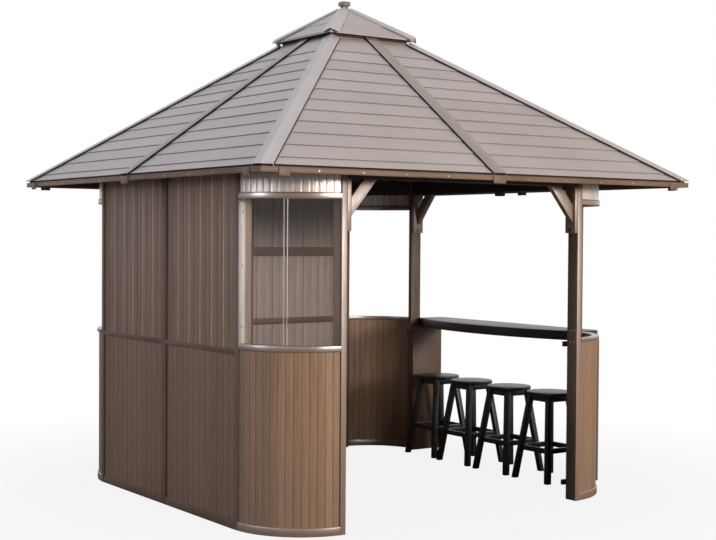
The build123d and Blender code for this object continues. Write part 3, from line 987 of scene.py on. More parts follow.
def pan_head(radius: float = 0.0045, rise: float = 0.0022) -> Form:
    """A pan-head screw with its slot, seen from outside and facing +X.

    Args:
        radius: at its foot.
        rise: how far it stands proud.

    Returns:
        The head.
    """
    top, slot_long, slot_wide, slot_low, slot_high = 0.62, 0.5, 0.09, 0.9, 1.05
    form = Form().round_bar(radius, radius * top, 0.0, rise, segments=10)
    form.block((-radius * slot_long, -radius * slot_wide, rise * slot_low),
               (radius * slot_long, radius * slot_wide, rise * slot_high))
    return form.sideways()


def hex_head(radius: float, rise: float) -> Form:
    """A bolt head on its washer, facing +X.

    Args:
        radius: of the head.
        rise: how far it stands proud, with its washer.

    Returns:
        The head and the washer.
    """
    washer, washer_top, washer_share, head_top = 1.45, 1.4, 0.3, 0.92
    low = rise * washer_share
    form = Form().round_bar(radius * washer, radius * washer_top, 0.0, low, segments=14)
    return form.round_bar(radius, radius * head_top, low, rise, segments=6).sideways()


@dataclass
class CornerBoards:
    """Upright boards bent round the four corners, below and above the openings."""

    finishes: Finishes
    base: float = 0.050
    half_wall_high: float = 1.040
    window_wall_high: float = 1.056
    valance_low: float = 1.971
    boards: int = 14
    groove: float = 0.0034
    back_groove: float = 0.0024
    shades: random.Random = field(default_factory=lambda: random.Random(SEED))

    def band(self, low: float, high: float) -> Form:
        """The boards round one corner, about its own centre.

        Args:
            low: underside of the boards.
            high: top of the boards.

        Returns:
            The boards.
        """
        outer = PLAN.corner_radius - PLAN.rail_proud
        inner = outer - PLAN.board
        start = math.degrees(math.asin(PLAN.post_width / outer))
        pitch = (90.0 - 2 * start) / self.boards
        board = Form().arc(inner, outer, low, high, 0.0, pitch, steps=3)
        middle = (inner + outer) / 2

        def upright(e: Edge, outside: bool) -> bool:
            """Whether an edge is an upright corner of the board.

            Args:
                e: the edge.
                outside: whether the outside corners are meant.

            Returns:
                Whether it is one of them.
            """
            a, b = (v.co for v in e.verts)
            far = Vector((a.x, a.y, 0)).length > middle
            return abs(b.z - a.z) > SAME and far is outside and e.calc_face_angle(0.0) > SHARP

        board.ease_where(self.groove, 2, lambda e: upright(e, True))
        board.ease_where(self.back_groove, 2, lambda e: upright(e, False))
        band = Form()
        for number in range(self.boards):
            turn = Matrix.Rotation(math.radians(start + number * pitch), 4, "Z")
            band.add(board, turn, tone=self.shades.random())
        return band

    def build(self) -> None:
        """Builds the half wall and the valance of each corner."""
        for corner in Corner:
            title = corner.name.lower()
            high = self.window_wall_high if corner is Corner.FRONT_LEFT else self.half_wall_high
            half_wall = Form().add(self.band(self.base, high), at_corner(corner))
            show(f"{title}_bent_boards", half_wall, [self.finishes.bent], Slot.WALL_BOARDS,
                 [f"{title}_half_wall"])
            # The valance takes the lighter finish with the painted sheen.
            valance = Form().add(self.band(self.valance_low, PLAN.header_high), at_corner(corner))
            show(f"{title}_valance_boards", valance, [self.finishes.valance], Slot.WALL_BOARDS,
                 [f"{title}_valance"])


@dataclass
class CornerRails:
    """Bent rails below, on and above the corner boards."""

    finishes: Finishes
    depth: float = 0.040
    base: Span = (0.0, 0.050)
    base_edge: float = 0.004
    cap: Span = (1.040, 1.066)
    cap_radii: Span = (0.426, 0.476)
    cap_edge: float = 0.007
    sill: Span = (1.056, 1.094)
    sill_edge: float = 0.006
    valance: Span = (1.933, 1.971)
    valance_edge: float = 0.005
    sweep: Span = (2.0, 88.0)
    steps: int = 28
    off_bend: float = 1e-4

    def rail(self, radii: Span, heights: Span, edge: float) -> Form:
        """One rail round the back right corner.

        Args:
            radii: inside and outside radius.
            heights: underside and top.
            edge: radius of its long edges.

        Returns:
            The rail.
        """
        rail = Form().arc(*radii, *heights, *self.sweep, self.steps).between_posts(PLAN.post_width)

        def long_edge(e: Edge) -> bool:
            """Whether an edge runs along the bend.

            Args:
                e: the edge.

            Returns:
                Whether it is a corner between two points that are equally high and far out.
            """
            a, b = (v.co for v in e.verts)
            level = abs(a.z - b.z) < SAME and abs(a.xy.length - b.xy.length) < self.off_bend
            return e.calc_face_angle(0.0) > SHARP and level

        rail.ease_where(edge, 3, long_edge)
        return Form().add(rail, at_corner(Corner.BACK_RIGHT))

    def build(self) -> None:
        """Builds the base, cap, sill and valance rails."""
        radii = (PLAN.corner_radius - self.depth, PLAN.corner_radius)
        no_window = [c for c in Corner if c is not Corner.FRONT_LEFT]
        for name, node, rail, corners in (
                ("bent_base_rails", "corner_base_rails", self.rail(radii, self.base, self.base_edge), Corner),
                ("bent_cap_rails", "corner_cap_rails", self.rail(self.cap_radii, self.cap, self.cap_edge),
                 no_window),
                ("window_sill_rail", "window_sill", self.rail(radii, self.sill, self.sill_edge),
                 [Corner.FRONT_LEFT]),
                ("bent_valance_rails", "valance_rails", self.rail(radii, self.valance, self.valance_edge),
                 Corner)):
            show(name, Form().around(rail, [c.value for c in corners]), [self.finishes.rails], Slot.RAILS,
                 [node])


@dataclass
class CornerWindow:
    """The curved window over the front left half wall."""

    finishes: Finishes
    low: float = 1.094
    high: float = 1.933
    pane: float = 0.005
    pane_setback: float = 0.008
    sweep: Span = (2.0, 88.0)
    joint: float = 0.024
    joint_depth: float = 0.014
    joint_lip: float = 0.0035
    web: Span = (0.005, 0.008)
    setback: float = 0.002
    jamb: float = 0.004
    jamb_depth: float = 0.044
    edge: float = 0.001
    screw_share: float = 0.62
    screw: Span = (0.0048, 0.0025)
    screw_heights: tuple[float, ...] = (1.190, 1.545, 1.860)

    def panes(self) -> Form:
        """The two bent panes."""
        outer = PLAN.corner_radius - self.pane_setback
        half = math.degrees(self.joint / 2 / outer)
        form = Form()
        for start, stop in ((self.sweep[0], 45.0 - half), (45.0 + half, self.sweep[1])):
            pane = Form().arc(outer - self.pane, outer, self.low, self.high, start, stop, steps=16)
            form.add(pane.between_posts(PLAN.post_width + self.jamb), at_corner(Corner.FRONT_LEFT))
        return form

    def strips(self) -> Form:
        """The edges of the panes where they meet, and the strips on the posts."""
        outer = PLAN.corner_radius - self.setback
        inner = outer - self.joint_depth
        half = math.degrees(self.joint / 2 / outer)
        lip = math.degrees(self.joint_lip / outer)
        place = at_corner(Corner.FRONT_LEFT)
        form = Form()
        for start in (45.0 - half, 45.0 + half - lip):
            cover = Form().arc(inner, outer, self.low, self.high, start, start + lip, steps=1)
            form.add(cover.ease_sharp(self.edge), place, finish=1)
        web = Form().arc(outer - self.web[1], outer - self.web[0], self.low, self.high,
                         45.0 - half + lip, 45.0 + half - lip, steps=2)
        form.add(web, place, finish=2)
        near = PLAN.post_width
        jamb = Form().block((outer - self.jamb_depth, near, self.low), (outer, near + self.jamb, self.high),
                            self.edge)
        # The jamb on the far post takes the darker post-side finish as painted shade.
        return form.add(jamb, place).add(jamb, place @ across_corner(), finish=3)

    def screws(self) -> Form:
        """Screws in the strips on both posts."""
        form = Form()
        middle = PLAN.corner_radius - self.setback - self.jamb_depth * self.screw_share
        for height in self.screw_heights:
            on_post = Matrix.Translation((middle, PLAN.post_width + self.jamb, height)) @ quarter(1)
            for side in (Matrix.Identity(4), across_corner()):
                form.add(pan_head(*self.screw), at_corner(Corner.FRONT_LEFT) @ side @ on_post)
        return form

    def build(self) -> None:
        """Builds the panes, the strips and their screws."""
        finishes = self.finishes
        show("window_glazing", self.panes(), [finishes.glass], Slot.GLASS, ["window_panes"])
        show("window_edge_strips", self.strips(),
             [finishes.jamb, finishes.joint, finishes.glass, finishes.shaded_post_sides], Slot.RAILS,
             ["window_strips"])
        show("window_screws", self.screws(), [finishes.bolts], Slot.RAILS)


@dataclass
class ClosedWall:
    """One closed wall: two bays of boards, a mullion, a middle rail and a base rail."""

    finishes: Finishes
    side: Side
    base: float = 0.050
    middle: Span = (1.025, 1.055)
    mullion: float = 0.066
    boards: int = 12
    main_joint: float = 0.0042
    mock_joint: float = 0.0019
    inner_joint: float = 0.0060
    inner_rail_depth: float = 0.020
    inner_rails: tuple[Span, ...] = ((1.025, 1.071), (1.560, 1.630))
    edge: float = 0.002

    @property
    def bays(self) -> tuple[Span, ...]:
        """Where each bay begins and ends."""
        half = self.mullion / 2
        return ((-PLAN.centre, -half), (half, PLAN.centre))

    def finish_of(self, face: Face, near: float, pitch: float, low: float) -> int:
        """Picks the finish of a face of a board.

        Args:
            face: the face.
            near: where the bay begins.
            pitch: width of a board.
            low: the bay's underside.

        Returns:
            0 for a board, 1 for a main joint edge with a painted highlight (upper bays only), 2 for the
            inside, painted lighter as the glass's reflection, and 3 for a mock joint edge painted dark as
            shade.
        """
        slanting, straight = 0.2, 0.99
        # Inside faces take the finish that paints the milky reflection of the window glass.
        if face.normal.x < -slanting:
            return 2
        if not slanting < face.normal.x < straight:
            return 0
        # Mock joint edges take the dark finish that paints the shade in the groove.
        if round((face.calc_center_median().y - near) / pitch) % 2:
            return 3
        # Main joint edges take the pale painted highlight only in the upper bays, so the highlight lines show
        # at the top of the wall.
        return int(low > self.middle[0])

    def bay(self, near: float, far: float, low: float, high: float, shades: random.Random) -> Form:
        """One bay of boards in the right-hand wall.

        Args:
            near: where the bay begins.
            far: where it ends.
            low: its underside.
            high: its top.
            shades: where the shade of each board comes from.

        Returns:
            The boards.
        """
        face = PLAN.board_face
        pitch = (far - near) / self.boards
        form = Form()
        for number in range(self.boards):
            y0 = near + number * pitch
            board = Form().block((face - PLAN.board, y0, low), (face, y0 + pitch, high))
            for place, joint in ((y0, number), (y0 + pitch, number + 1)):
                outside, inside = ((self.mock_joint, self.inner_joint) if joint % 2
                                   else (self.main_joint, self.mock_joint))
                for width, x in ((outside, face), (inside, face - PLAN.board)):
                    board.ease_where(width, 2, lambda e, p=place, f=x: all(
                        abs(v.co.y - p) < SAME and abs(v.co.x - f) < SAME for v in e.verts))
            board.dress(lambda f: self.finish_of(f, near, pitch, low))
            if number % 2 == 0:
                shade = shades.random()
            form.add(board, tone=shade)
        return form

    def build(self) -> None:
        """Builds the boards and the frame of the wall."""
        shades = random.Random(SEED + self.side.value)
        half = self.mullion / 2
        boards = Form()
        for near, far in self.bays:
            boards.add(self.bay(near, far, self.base, self.middle[0], shades))
            boards.add(self.bay(near, far, self.middle[1], PLAN.header_high, shades))
        title = self.side.name.lower()
        show(f"{title}_wall_planks", Form().around(boards, [self.side.value]),
             [self.finishes.boards, self.finishes.edges, self.finishes.inner, self.finishes.groove_shade],
             Slot.WALL_BOARDS, [f"{title}_wall_boards"])
        back, inner = PLAN.board_face - PLAN.board, PLAN.wall - PLAN.post_depth
        rails = Form().block((back, -half, 0), (PLAN.wall, half, PLAN.header_high), self.edge)
        rails.block((inner, -half, 0), (back, half, PLAN.header_low), self.edge)
        inside, outside = (back - self.inner_rail_depth, back), (back, PLAN.wall)
        for depth, heights in ((inside, self.inner_rails), (outside, ((0.0, self.base), self.middle))):
            for low, high in heights:
                for near, far in self.bays:
                    rails.block((depth[0], near, low), (depth[1], far, high), self.edge)
        show(f"{title}_wall_rails", Form().around(rails, [self.side.value]), [self.finishes.frames],
             Slot.RAILS, [f"{title}_wall_frame"])


@dataclass
class PostsAndBeams:
    """Corner posts, the beams over them and the knee braces."""

    finishes: Finishes
    edge: float = 0.003
    block_width: float = 0.027
    block_low: float = 1.750
    foot: Span = (1.819, 1.930)
    reach: float = 0.196
    thickness: float = 0.038
    setback: float = 0.022
    overrun: float = 0.4
    brace_edge: float = 0.0025

    def post_pair(self) -> Form:
        """The two posts of the back right corner."""
        inner = PLAN.wall - PLAN.post_depth
        form = Form()
        form.block((inner, PLAN.centre, 0), (PLAN.wall, PLAN.post_far, PLAN.header_high), self.edge)
        form.block((PLAN.centre, inner, 0), (PLAN.post_far, PLAN.wall, PLAN.header_high), self.edge)
        return form

    def brace(self) -> Form:
        """The brace and its block at the back end of the right-hand opening."""
        side = PLAN.centre - self.block_width
        inner = PLAN.wall - PLAN.post_depth
        form = Form().block((inner, side, self.block_low), (PLAN.wall, PLAN.centre, PLAN.header_low),
                            self.brace_edge)
        low = Vector((PLAN.wall - self.setback - self.thickness, side, self.foot[0]))
        along = Vector((low.x, side - self.reach, PLAN.header_low)) - low
        above = Vector((low.x, side, self.foot[1])) - low
        way = along.normalized()
        bar = Form().plank(low - along * self.overrun, along * (1 + 2 * self.overrun),
                           Vector((self.thickness, 0, 0)), above - way * above.dot(way))
        bar.cut((0, side, 0), (0, 1, 0)).cut((0, 0, PLAN.header_low), (0, 0, 1))
        return form.add(bar.outward().ease_sharp(self.brace_edge))

    def build(self) -> None:
        """Builds the posts, beams and braces."""
        finishes = self.finishes
        forwards, behind = -0.5, 0.01 - PLAN.wall

        def away(face: Face) -> int:
            """0 for a front face of the front wall's posts, the lighter copy as painted light, and 1 for the
            others, the darker copy as painted shade.
            """
            return int(face.normal.y > forwards or face.calc_center_median().y > behind)

        show("corner_post_timbers", Form().around(self.post_pair()).dress(away),
             [finishes.posts, finishes.shaded_post_sides], Slot.POST_WOOD, ["corner_posts"])
        beams = Form()
        for side in Side:
            outer = PLAN.wall if side in (Side.RIGHT, Side.FRONT) else PLAN.board_face - PLAN.board
            beam = Form().block((PLAN.wall - PLAN.post_depth, -PLAN.centre, PLAN.header_low),
                                (outer, PLAN.centre, PLAN.header_high), self.edge)
            beams.add(beam, quarter(side.value), finish=side.value % 2)
        # The beams take the near-black finish that paints the shade under the roof.
        dark = finishes.beams
        show("header_beam_timbers", beams, [dark[Run.ALONG_Y], dark[Run.ALONG_X]], Slot.POST_WOOD,
             ["header_beams"])
        brace = self.brace()
        braces = Form()
        for turn in (quarter(Side.RIGHT.value), quarter(Side.FRONT.value)):
            braces.add(brace, turn).add(brace, turn @ Matrix.Diagonal((1, -1, 1, 1)))
        show("knee_brace_timbers", braces, [finishes.posts], Slot.POST_WOOD, ["knee_braces"])
        show("corner_beam_timbers", cad_copy("corner_beams", self.edge), [dark[Run.ALONG_X]],
             Slot.POST_WOOD, ["corner_beams"])


@dataclass
class RoofFaces:
    """Four roof faces of lapped courses on a deck."""

    finishes: Finishes
    start: float = 1.638
    first_run: float = 0.076
    course_run: float = 0.1084
    seams: int = 11
    top: float = 0.310
    gap: float = 0.003
    sheet: float = 0.002
    lap: float = 0.022
    edge: float = 0.0006
    deck_setback: float = 0.004
    deck_gap: float = 0.0004
    smooth: float = 20.0
    shades: random.Random = field(default_factory=lambda: random.Random(SEED + 5))

    def trimmed(self, foot: Vector, along: Vector, up: Vector) -> Form:
        """A sheet of the right-hand face, cut along both hips.

        Args:
            foot: its lower front corner.
            along: the way and length that it runs up the roof.
            up: the way and thickness of the sheet.

        Returns:
            The sheet.
        """
        sheet = Form().plank(foot, along, Vector((0, 2 * PLAN.eave, 0)), up)
        return sheet.between_hips(self.gap * math.sqrt(2) / 2)

    def course(self, low: float, high: float, lap: float) -> Form:
        """One course of the right-hand face.

        Args:
            low: level distance of its lower edge from the middle.
            high: the same for its upper edge.
            lap: how far it runs on under the next course.

        Returns:
            The course.
        """
        foot = Vector((low, -PLAN.eave, PLAN.roof_height(low, PLAN.course_step)))
        along = Vector((high, -PLAN.eave, PLAN.roof_height(high))) - foot
        along += along.normalized() * lap
        down = Vector((-along.z, 0, along.x)).normalized() * self.sheet
        course = self.trimmed(foot, along, down)
        return course.ease_where(self.edge, 1, lambda e: e.calc_face_angle(0.0) > SHARP)

    def deck(self) -> Form:
        """The boards below the courses of the right-hand face."""
        foot = Vector((self.start - self.deck_setback, -PLAN.eave,
                       PLAN.roof_height(self.start, -PLAN.roof_thickness)))
        head = Vector((self.top, -PLAN.eave, PLAN.roof_height(self.top, -PLAN.roof_thickness)))
        up = PLAN.roof_thickness - self.sheet - self.deck_gap
        return self.trimmed(foot, head - foot, Vector((0, 0, up)))

    def build(self) -> None:
        """Builds the deck and the courses of each face."""
        seams = [PLAN.eave - self.first_run - n * self.course_run for n in range(self.seams)]
        edges = [self.start, *seams, self.top]
        for side in Side:
            form = Form()
            for low, high in zip(edges, edges[1:]):
                course = self.course(low, high, 0.0 if high == self.top else self.lap)
                form.add(course, tone=self.shades.random())
            # The deck takes the near-black beam finish, painted shade under the roof.
            form.add(self.deck(), finish=1)
            title = side.name.lower()
            run = Run.ALONG_Y if side in (Side.RIGHT, Side.LEFT) else Run.ALONG_X
            show(f"{title}_roof_courses", Form().around(form, [side.value]),
                 [self.finishes.roof, self.finishes.beams[run]], Slot.ROOF_BOARDS, [f"roof_{title}"],
                 smooth=self.smooth)


@dataclass
class RoofTrim:
    """Caps over the hips and ribs, the eave strip and its end plates."""

    finishes: Finishes
    hip_half: float = 0.058
    rib_half: float = 0.048
    height: float = 0.014
    top: float = 0.322
    sheet: float = 0.0022
    fold: float = 0.003
    turned_down: float = 0.75
    edge: float = 0.0015
    fascia: float = 0.012
    bead_in: float = 0.004
    bead_out: float = 0.002
    bead_low: float = 0.006
    bead_high: float = 0.0005
    bead_edge: float = 0.002
    drop: float = 0.018
    tab_width: float = 0.070
    tab_from_corner: float = 0.145
    screw_drop: float = 0.002
    screw_sunk: Span = (0.0002, 0.003)
    screw_places: tuple[float, ...] = (-1.281, -0.988, -0.689, -0.389, 0.242, 0.537, 0.840, 1.128)
    corner_screw: float = 1.501

    def cap(self, profile: Sequence[Point], run: Vector) -> Form:
        """A folded cap whose turned-down sides have its second finish.

        Args:
            profile: where its fold lines start.
            run: the way and length that it runs up the roof.

        Returns:
            The cap.
        """
        cap = Form().folded(profile, run, self.sheet, self.fold)
        return cap.dress(lambda face: int(abs(face.normal.y) > self.turned_down))

    def hip_cap(self) -> Form:
        """The folded cap over the back right hip."""
        edge = PLAN.eave + PLAN.plate
        reach = edge + self.hip_half
        profile = hip_section(reach * math.sqrt(2), PLAN.roof_height(reach, PLAN.course_step), self.hip_half,
                              self.height, PLAN.slope / math.sqrt(2))
        run = reach - self.top
        cap = self.cap(profile, Vector((-run * math.sqrt(2), 0, run * PLAN.slope)))
        cap = Form().add(cap, Matrix.Rotation(math.radians(45), 4, "Z"))
        return cap.cut((edge, 0, 0), (1, 0, 0)).cut((0, edge, 0), (0, 1, 0))

    def rib_cap(self) -> Form:
        """The flat cap up the middle of the right-hand face."""
        edge = PLAN.eave + PLAN.plate
        z = PLAN.roof_height(edge, PLAN.course_step)
        w, h = self.rib_half, self.height
        profile = [(edge, -w, z), (edge, -w, z + h), (edge, w, z + h), (edge, w, z)]
        run = edge - self.top
        return self.cap(profile, Vector((-run, 0, run * PLAN.slope)))

    def end_plates(self) -> Form:
        """Plates on the right-hand eave strip, below the ends of the caps."""
        middle = PLAN.eave - self.tab_from_corner
        half = self.tab_width / 2
        form = Form()
        for place, reach in ((0.0, self.rib_half), (-middle, half), (middle, half)):
            form.block((PLAN.eave, place - reach, PLAN.fascia_low - self.drop),
                       (PLAN.eave + PLAN.plate, place + reach, PLAN.fascia_high), self.edge)
        return form

    def eave_strip(self) -> Form:
        """The right-hand strip of the eaves with its rolled upper edge."""
        eave = PLAN.eave
        form = Form().block((eave - self.fascia, -eave, PLAN.fascia_low), (eave, eave, PLAN.fascia_high),
                            self.edge)
        bead = Form().block((eave - self.bead_in, -eave, PLAN.fascia_high - self.bead_low),
                            (eave + self.bead_out, eave, PLAN.fascia_high + self.bead_high),
                            self.bead_edge, 3)
        return form.add(bead).between_hips()

    def screws(self) -> Form:
        """Screws in the right-hand eave strip and its end plates."""
        height = (PLAN.fascia_low + PLAN.fascia_high) / 2 - self.screw_drop
        plate = PLAN.eave + PLAN.plate - self.screw_sunk[1]
        places = [(PLAN.eave - self.screw_sunk[0], y, height) for y in self.screw_places]
        places += [(plate, y, height) for y in (-self.corner_screw, self.corner_screw)]
        form = Form()
        for place in places:
            form.add(pan_head(), Matrix.Translation(place))
        return form

    def build(self) -> None:
        """Builds the caps, plates, strip and screws."""
        finishes = self.finishes
        for name, form, dress, nodes in (
                # Hip caps take the lighter copy (painted light) and rib caps the darker one (painted shade).
                ("folded_hip_caps", self.hip_cap(), [finishes.caps, finishes.gap], ["hip_caps"]),
                ("folded_rib_caps", self.rib_cap(), [finishes.ribs, finishes.gap], ["rib_caps"]),
                ("cap_end_plates", self.end_plates(), [finishes.edge], ["eave_end_plates"]),
                ("eave_strip", self.eave_strip(), [finishes.edge], ["eave_fascia"]),
                ("eave_screws", self.screws(), [finishes.screws], [])):
            show(name, Form().around(form), dress, Slot.ROOF_CAPS, nodes)


@dataclass
class UpperTier:
    """The small upper roof, its caps and the finial."""

    finishes: Finishes
    half: float = 0.348
    eave: float = 3.06096
    slope: float = 0.655
    thickness: float = 0.014
    seam: float = 0.226
    step: float = 0.005
    top: float = 0.024
    smooth: float = 20.0
    cap_past: float = 0.002
    cap_low: float = 0.060
    cap_top: float = 0.038
    cap_end: float = 0.008
    cap: float = 0.008
    cap_sheet: float = 0.002
    clearance: float = 0.0003
    neck: float = 0.041
    neck_height: float = 0.020
    neck_sunk: float = 0.004
    neck_edge: float = 0.002
    finial: float = 0.068
    finial_height: float = 0.028
    finial_corner: float = 0.009
    finial_edge: float = 0.008

    def height(self, half: float, base: float = 0.0) -> float:
        """The height of the tier's faces at a level distance from the middle."""
        return self.eave + self.thickness + self.slope * (self.half - half) + base

    def face(self) -> Form:
        """Both courses of the right-hand face."""
        form = Form()
        for low, high, base in ((self.half, self.seam, 0.0), (self.seam, self.top, self.step)):
            foot = Vector((low, -self.half, self.height(low, base - self.thickness)))
            along = Vector((high, -self.half, self.height(high, base - self.thickness))) - foot
            course = Form().plank(foot, along, Vector((0, 2 * self.half, 0)), Vector((0, 0, self.thickness)))
            form.add(course.between_hips())
        return form

    def hip_cap(self) -> Form:
        """The tapering folded cap over one hip."""
        fall = self.slope / math.sqrt(2)
        low_half, top_half = self.half + self.cap_past, self.top + self.cap_end
        lift = self.step + self.clearance
        x, z = low_half * math.sqrt(2), self.height(low_half, lift)
        form = Form()
        _, far = form.strip(hip_section(x, z, self.cap_low, self.cap, fall))
        narrow = self.cap_top / self.cap_low
        bmesh.ops.scale(form.bm, vec=(1, narrow, 1), verts=far)
        head = Vector((top_half * math.sqrt(2), 0, self.height(top_half, lift)))
        bmesh.ops.translate(form.bm, vec=(head.x - x, 0, head.z - z), verts=far)
        for v in far:
            v.co.z += fall * (abs(v.co.y) / narrow - abs(v.co.y))
        bmesh.ops.solidify(form.bm, geom=form.bm.faces[:], thickness=self.cap_sheet)
        return Form().add(form.outward(), Matrix.Rotation(math.radians(45), 4, "Z"))

    def finial_cap(self) -> Form:
        """The finial on its neck."""
        base = self.height(self.top, self.step)
        neck, half = self.neck / 2, self.finial / 2
        low = base + self.neck_height
        high = low + self.finial_height
        form = Form().block((-neck, -neck, base - self.neck_sunk), (neck, neck, low), self.neck_edge)
        head = Form().block((-half, -half, low), (half, half, high))
        head.ease_where(self.finial_corner, 1, lambda e: abs(e.verts[0].co.z - e.verts[1].co.z) > SAME)
        head.ease_where(self.finial_edge, 3, lambda e: all(v.co.z > high - SAME for v in e.verts))
        return form.add(head)

    def build(self) -> None:
        """Builds the faces, caps and finial."""
        finishes = self.finishes
        show("upper_tier_courses", Form().around(self.face()), [finishes.roof], Slot.ROOF_BOARDS,
             ["upper_tier_roof"], smooth=self.smooth)
        show("upper_tier_hip_caps", Form().around(self.hip_cap()), [finishes.caps], Slot.ROOF_CAPS,
             ["upper_tier_caps"])
        show("finial_cap", self.finial_cap(), [finishes.finial], Slot.ROOF_CAPS, ["finial"])


@dataclass
class Fasteners:
    """Screws and bolts on the posts, the end panels and the wall heads.

    Each place is how far out it lies from the middle of the house, and its height.
    """

    finishes: Finishes
    screw: Span = (0.0052, 0.0024)
    bolt: Span = (0.0075, 0.0045)
    cap_screws: tuple[Span, ...] = ((1.323, 1.114), (1.353, 1.114), (1.323, 1.038), (1.353, 1.038))
    brace_bolt: Span = (1.329, 1.769)
    block: float = 0.027
    post_screws: tuple[Span, ...] = ((1.366, 1.491), (1.366, 1.166), (1.366, 1.776))
    panel_screws: tuple[Span, ...] = ((1.410, 0.511), (1.410, 0.096), (1.410, 0.900))
    wall_bolt: Span = (0.050, 2.065)

    def build(self) -> None:
        """Builds the screws of the entrance, the bar opening and the wall heads."""
        screw, bolt = pan_head(*self.screw), hex_head(*self.bolt)
        screws, bolts = Form(), Form()
        inwards = quarter(-1)
        for side, mirror in ((Side.FRONT, 1), (Side.FRONT, -1), (Side.RIGHT, 1), (Side.RIGHT, -1)):
            across = quarter(side.value) @ Matrix.Diagonal((1, mirror, 1, 1))
            for out, height in self.cap_screws:
                screws.add(screw, across @ Matrix.Translation((out, PLAN.centre, height)) @ inwards)
            out, height = self.brace_bolt
            bolts.add(bolt, across @ Matrix.Translation((out, PLAN.centre - self.block, height)) @ inwards)
        for out, height in (*self.post_screws, *self.panel_screws):
            screws.add(screw, Matrix.Translation((out, PLAN.centre, height)) @ inwards)
        for side in (Side.LEFT, Side.BACK):
            for y in (-self.wall_bolt[0], self.wall_bolt[0]):
                place = Matrix.Translation((PLAN.board_face, y, self.wall_bolt[1]))
                bolts.add(bolt, quarter(side.value) @ place)
        show("frame_screws", screws, [self.finishes.screws], Slot.RAILS)
        show("frame_bolts", bolts, [self.finishes.bolts], Slot.RAILS)


@dataclass
class Bar:
    """The counter, what carries it and the knob over it."""

    finishes: Finishes
    counter_edge: float = 0.004
    panel_edge: float = 0.002
    block_edge: float = 0.003
    knob_radius: float = 0.044
    knob_foot_share: float = 0.8
    knob_height: float = 0.028
    knob_edge: float = 0.005
    knob_place: float = -0.112

    def build(self) -> None:
        """Builds the counter, end panels, fixing blocks and knob."""
        black = self.finishes.black
        show("counter_top", cad_copy("bar_counter", self.counter_edge, segments=3), [black[Run.ALONG_Y]],
             Slot.DARK_WOOD, ["bar_counter"])
        show("counter_end_boards", cad_copy("bar_end_panels", self.panel_edge), [self.finishes.boards],
             Slot.WALL_BOARDS, ["bar_end_panels"])
        show("counter_fixing_blocks", cad_copy("bar_panel_blocks", self.block_edge), [black[Run.UP]],
             Slot.DARK_WOOD, ["bar_panel_blocks"])
        foot = self.knob_radius * self.knob_foot_share
        knob = Form().round_bar(foot, self.knob_radius, -self.knob_height, 0.0, segments=40)
        knob.ease_where(self.knob_edge, 3, lambda e: all(v.co.z < SAME - self.knob_height for v in e.verts))
        place = Matrix.Translation((PLAN.wall - PLAN.post_depth / 2, self.knob_place, PLAN.header_low))
        show("beam_knob", Form().add(knob, place), [black[Run.UP]], Slot.DARK_WOOD, ["header_knob"])


@dataclass
class Stool:
    """A round stool on four splayed legs."""

    finishes: Finishes
    number: int
    place: Span
    seat_high: float = 0.626
    seat: float = 0.324
    seat_thickness: float = 0.022
    seat_edge: float = 0.006
    apron: float = 0.044
    rail: float = 0.020
    rail_edge: float = 0.002
    leg: float = 0.038
    leg_edge: float = 0.003
    leg_head: float = 0.092
    leg_foot: float = 0.170
    stretcher: Span = (0.205, 0.036)

    @property
    def under(self) -> float:
        """The underside of the seat."""
        return self.seat_high - self.seat_thickness

    def leg_at(self, z: float) -> float:
        """How far the middle of a leg is from that of the seat."""
        return self.leg_foot + (self.leg_head - self.leg_foot) * z / self.under

    def build(self) -> None:
        """Builds the stool and sets it in its place."""
        seat = Form().round_bar(self.seat / 2, self.seat / 2, self.under, self.seat_high, segments=56)
        form = Form().add(seat.ease_sharp(self.seat_edge, 3), finish=1)
        near, far = self.leg_foot - self.leg / 2, self.leg_foot + self.leg / 2
        leg = Form().block((near, near, 0.0), (far, far, self.under))
        shift = self.leg_head - self.leg_foot
        bmesh.ops.translate(leg.bm, vec=(shift, shift, 0),
                            verts=[v for v in leg.bm.verts if v.co.z > self.under / 2])
        side = Form()
        for low, depth in ((self.under - self.apron, self.apron), self.stretcher):
            reach = self.leg_at(low + depth / 2)
            side.block((reach - self.rail / 2, -reach, low), (reach + self.rail / 2, reach, low + depth),
                       self.rail_edge)
        form.around(leg.ease_sharp(self.leg_edge)).around(side)
        show(f"stool_{self.number}", Form().add(form, Matrix.Translation((*self.place, 0))),
             [self.finishes.black[Run.UP], self.finishes.black[Run.ALONG_Y]], Slot.DARK_WOOD,
             [f"bar_stool_{self.number}"])


@dataclass(frozen=True)
class SoftBox:
    """A soft lamp, where it stands, the point it faces, its width and height, its watts and its tint."""

    name: str
    place: Point
    aim: Point
    size: Span
    watts: float
    tint: str

    def build(self) -> None:
        """Hangs the lamp."""
        data = bpy.data.lights.new(self.name, "AREA")
        data.shape = "RECTANGLE"
        data.size, data.size_y = self.size
        data.energy = self.watts
        data.color = linear(self.tint)[:3]
        lamp = bpy.data.objects.new(self.name, data)
        lamp.location = self.place
        ahead = Vector(self.aim) - Vector(self.place)
        lamp.rotation_euler = ahead.to_track_quat("-Z", "Y").to_euler()
        bpy.context.scene.collection.objects.link(lamp)


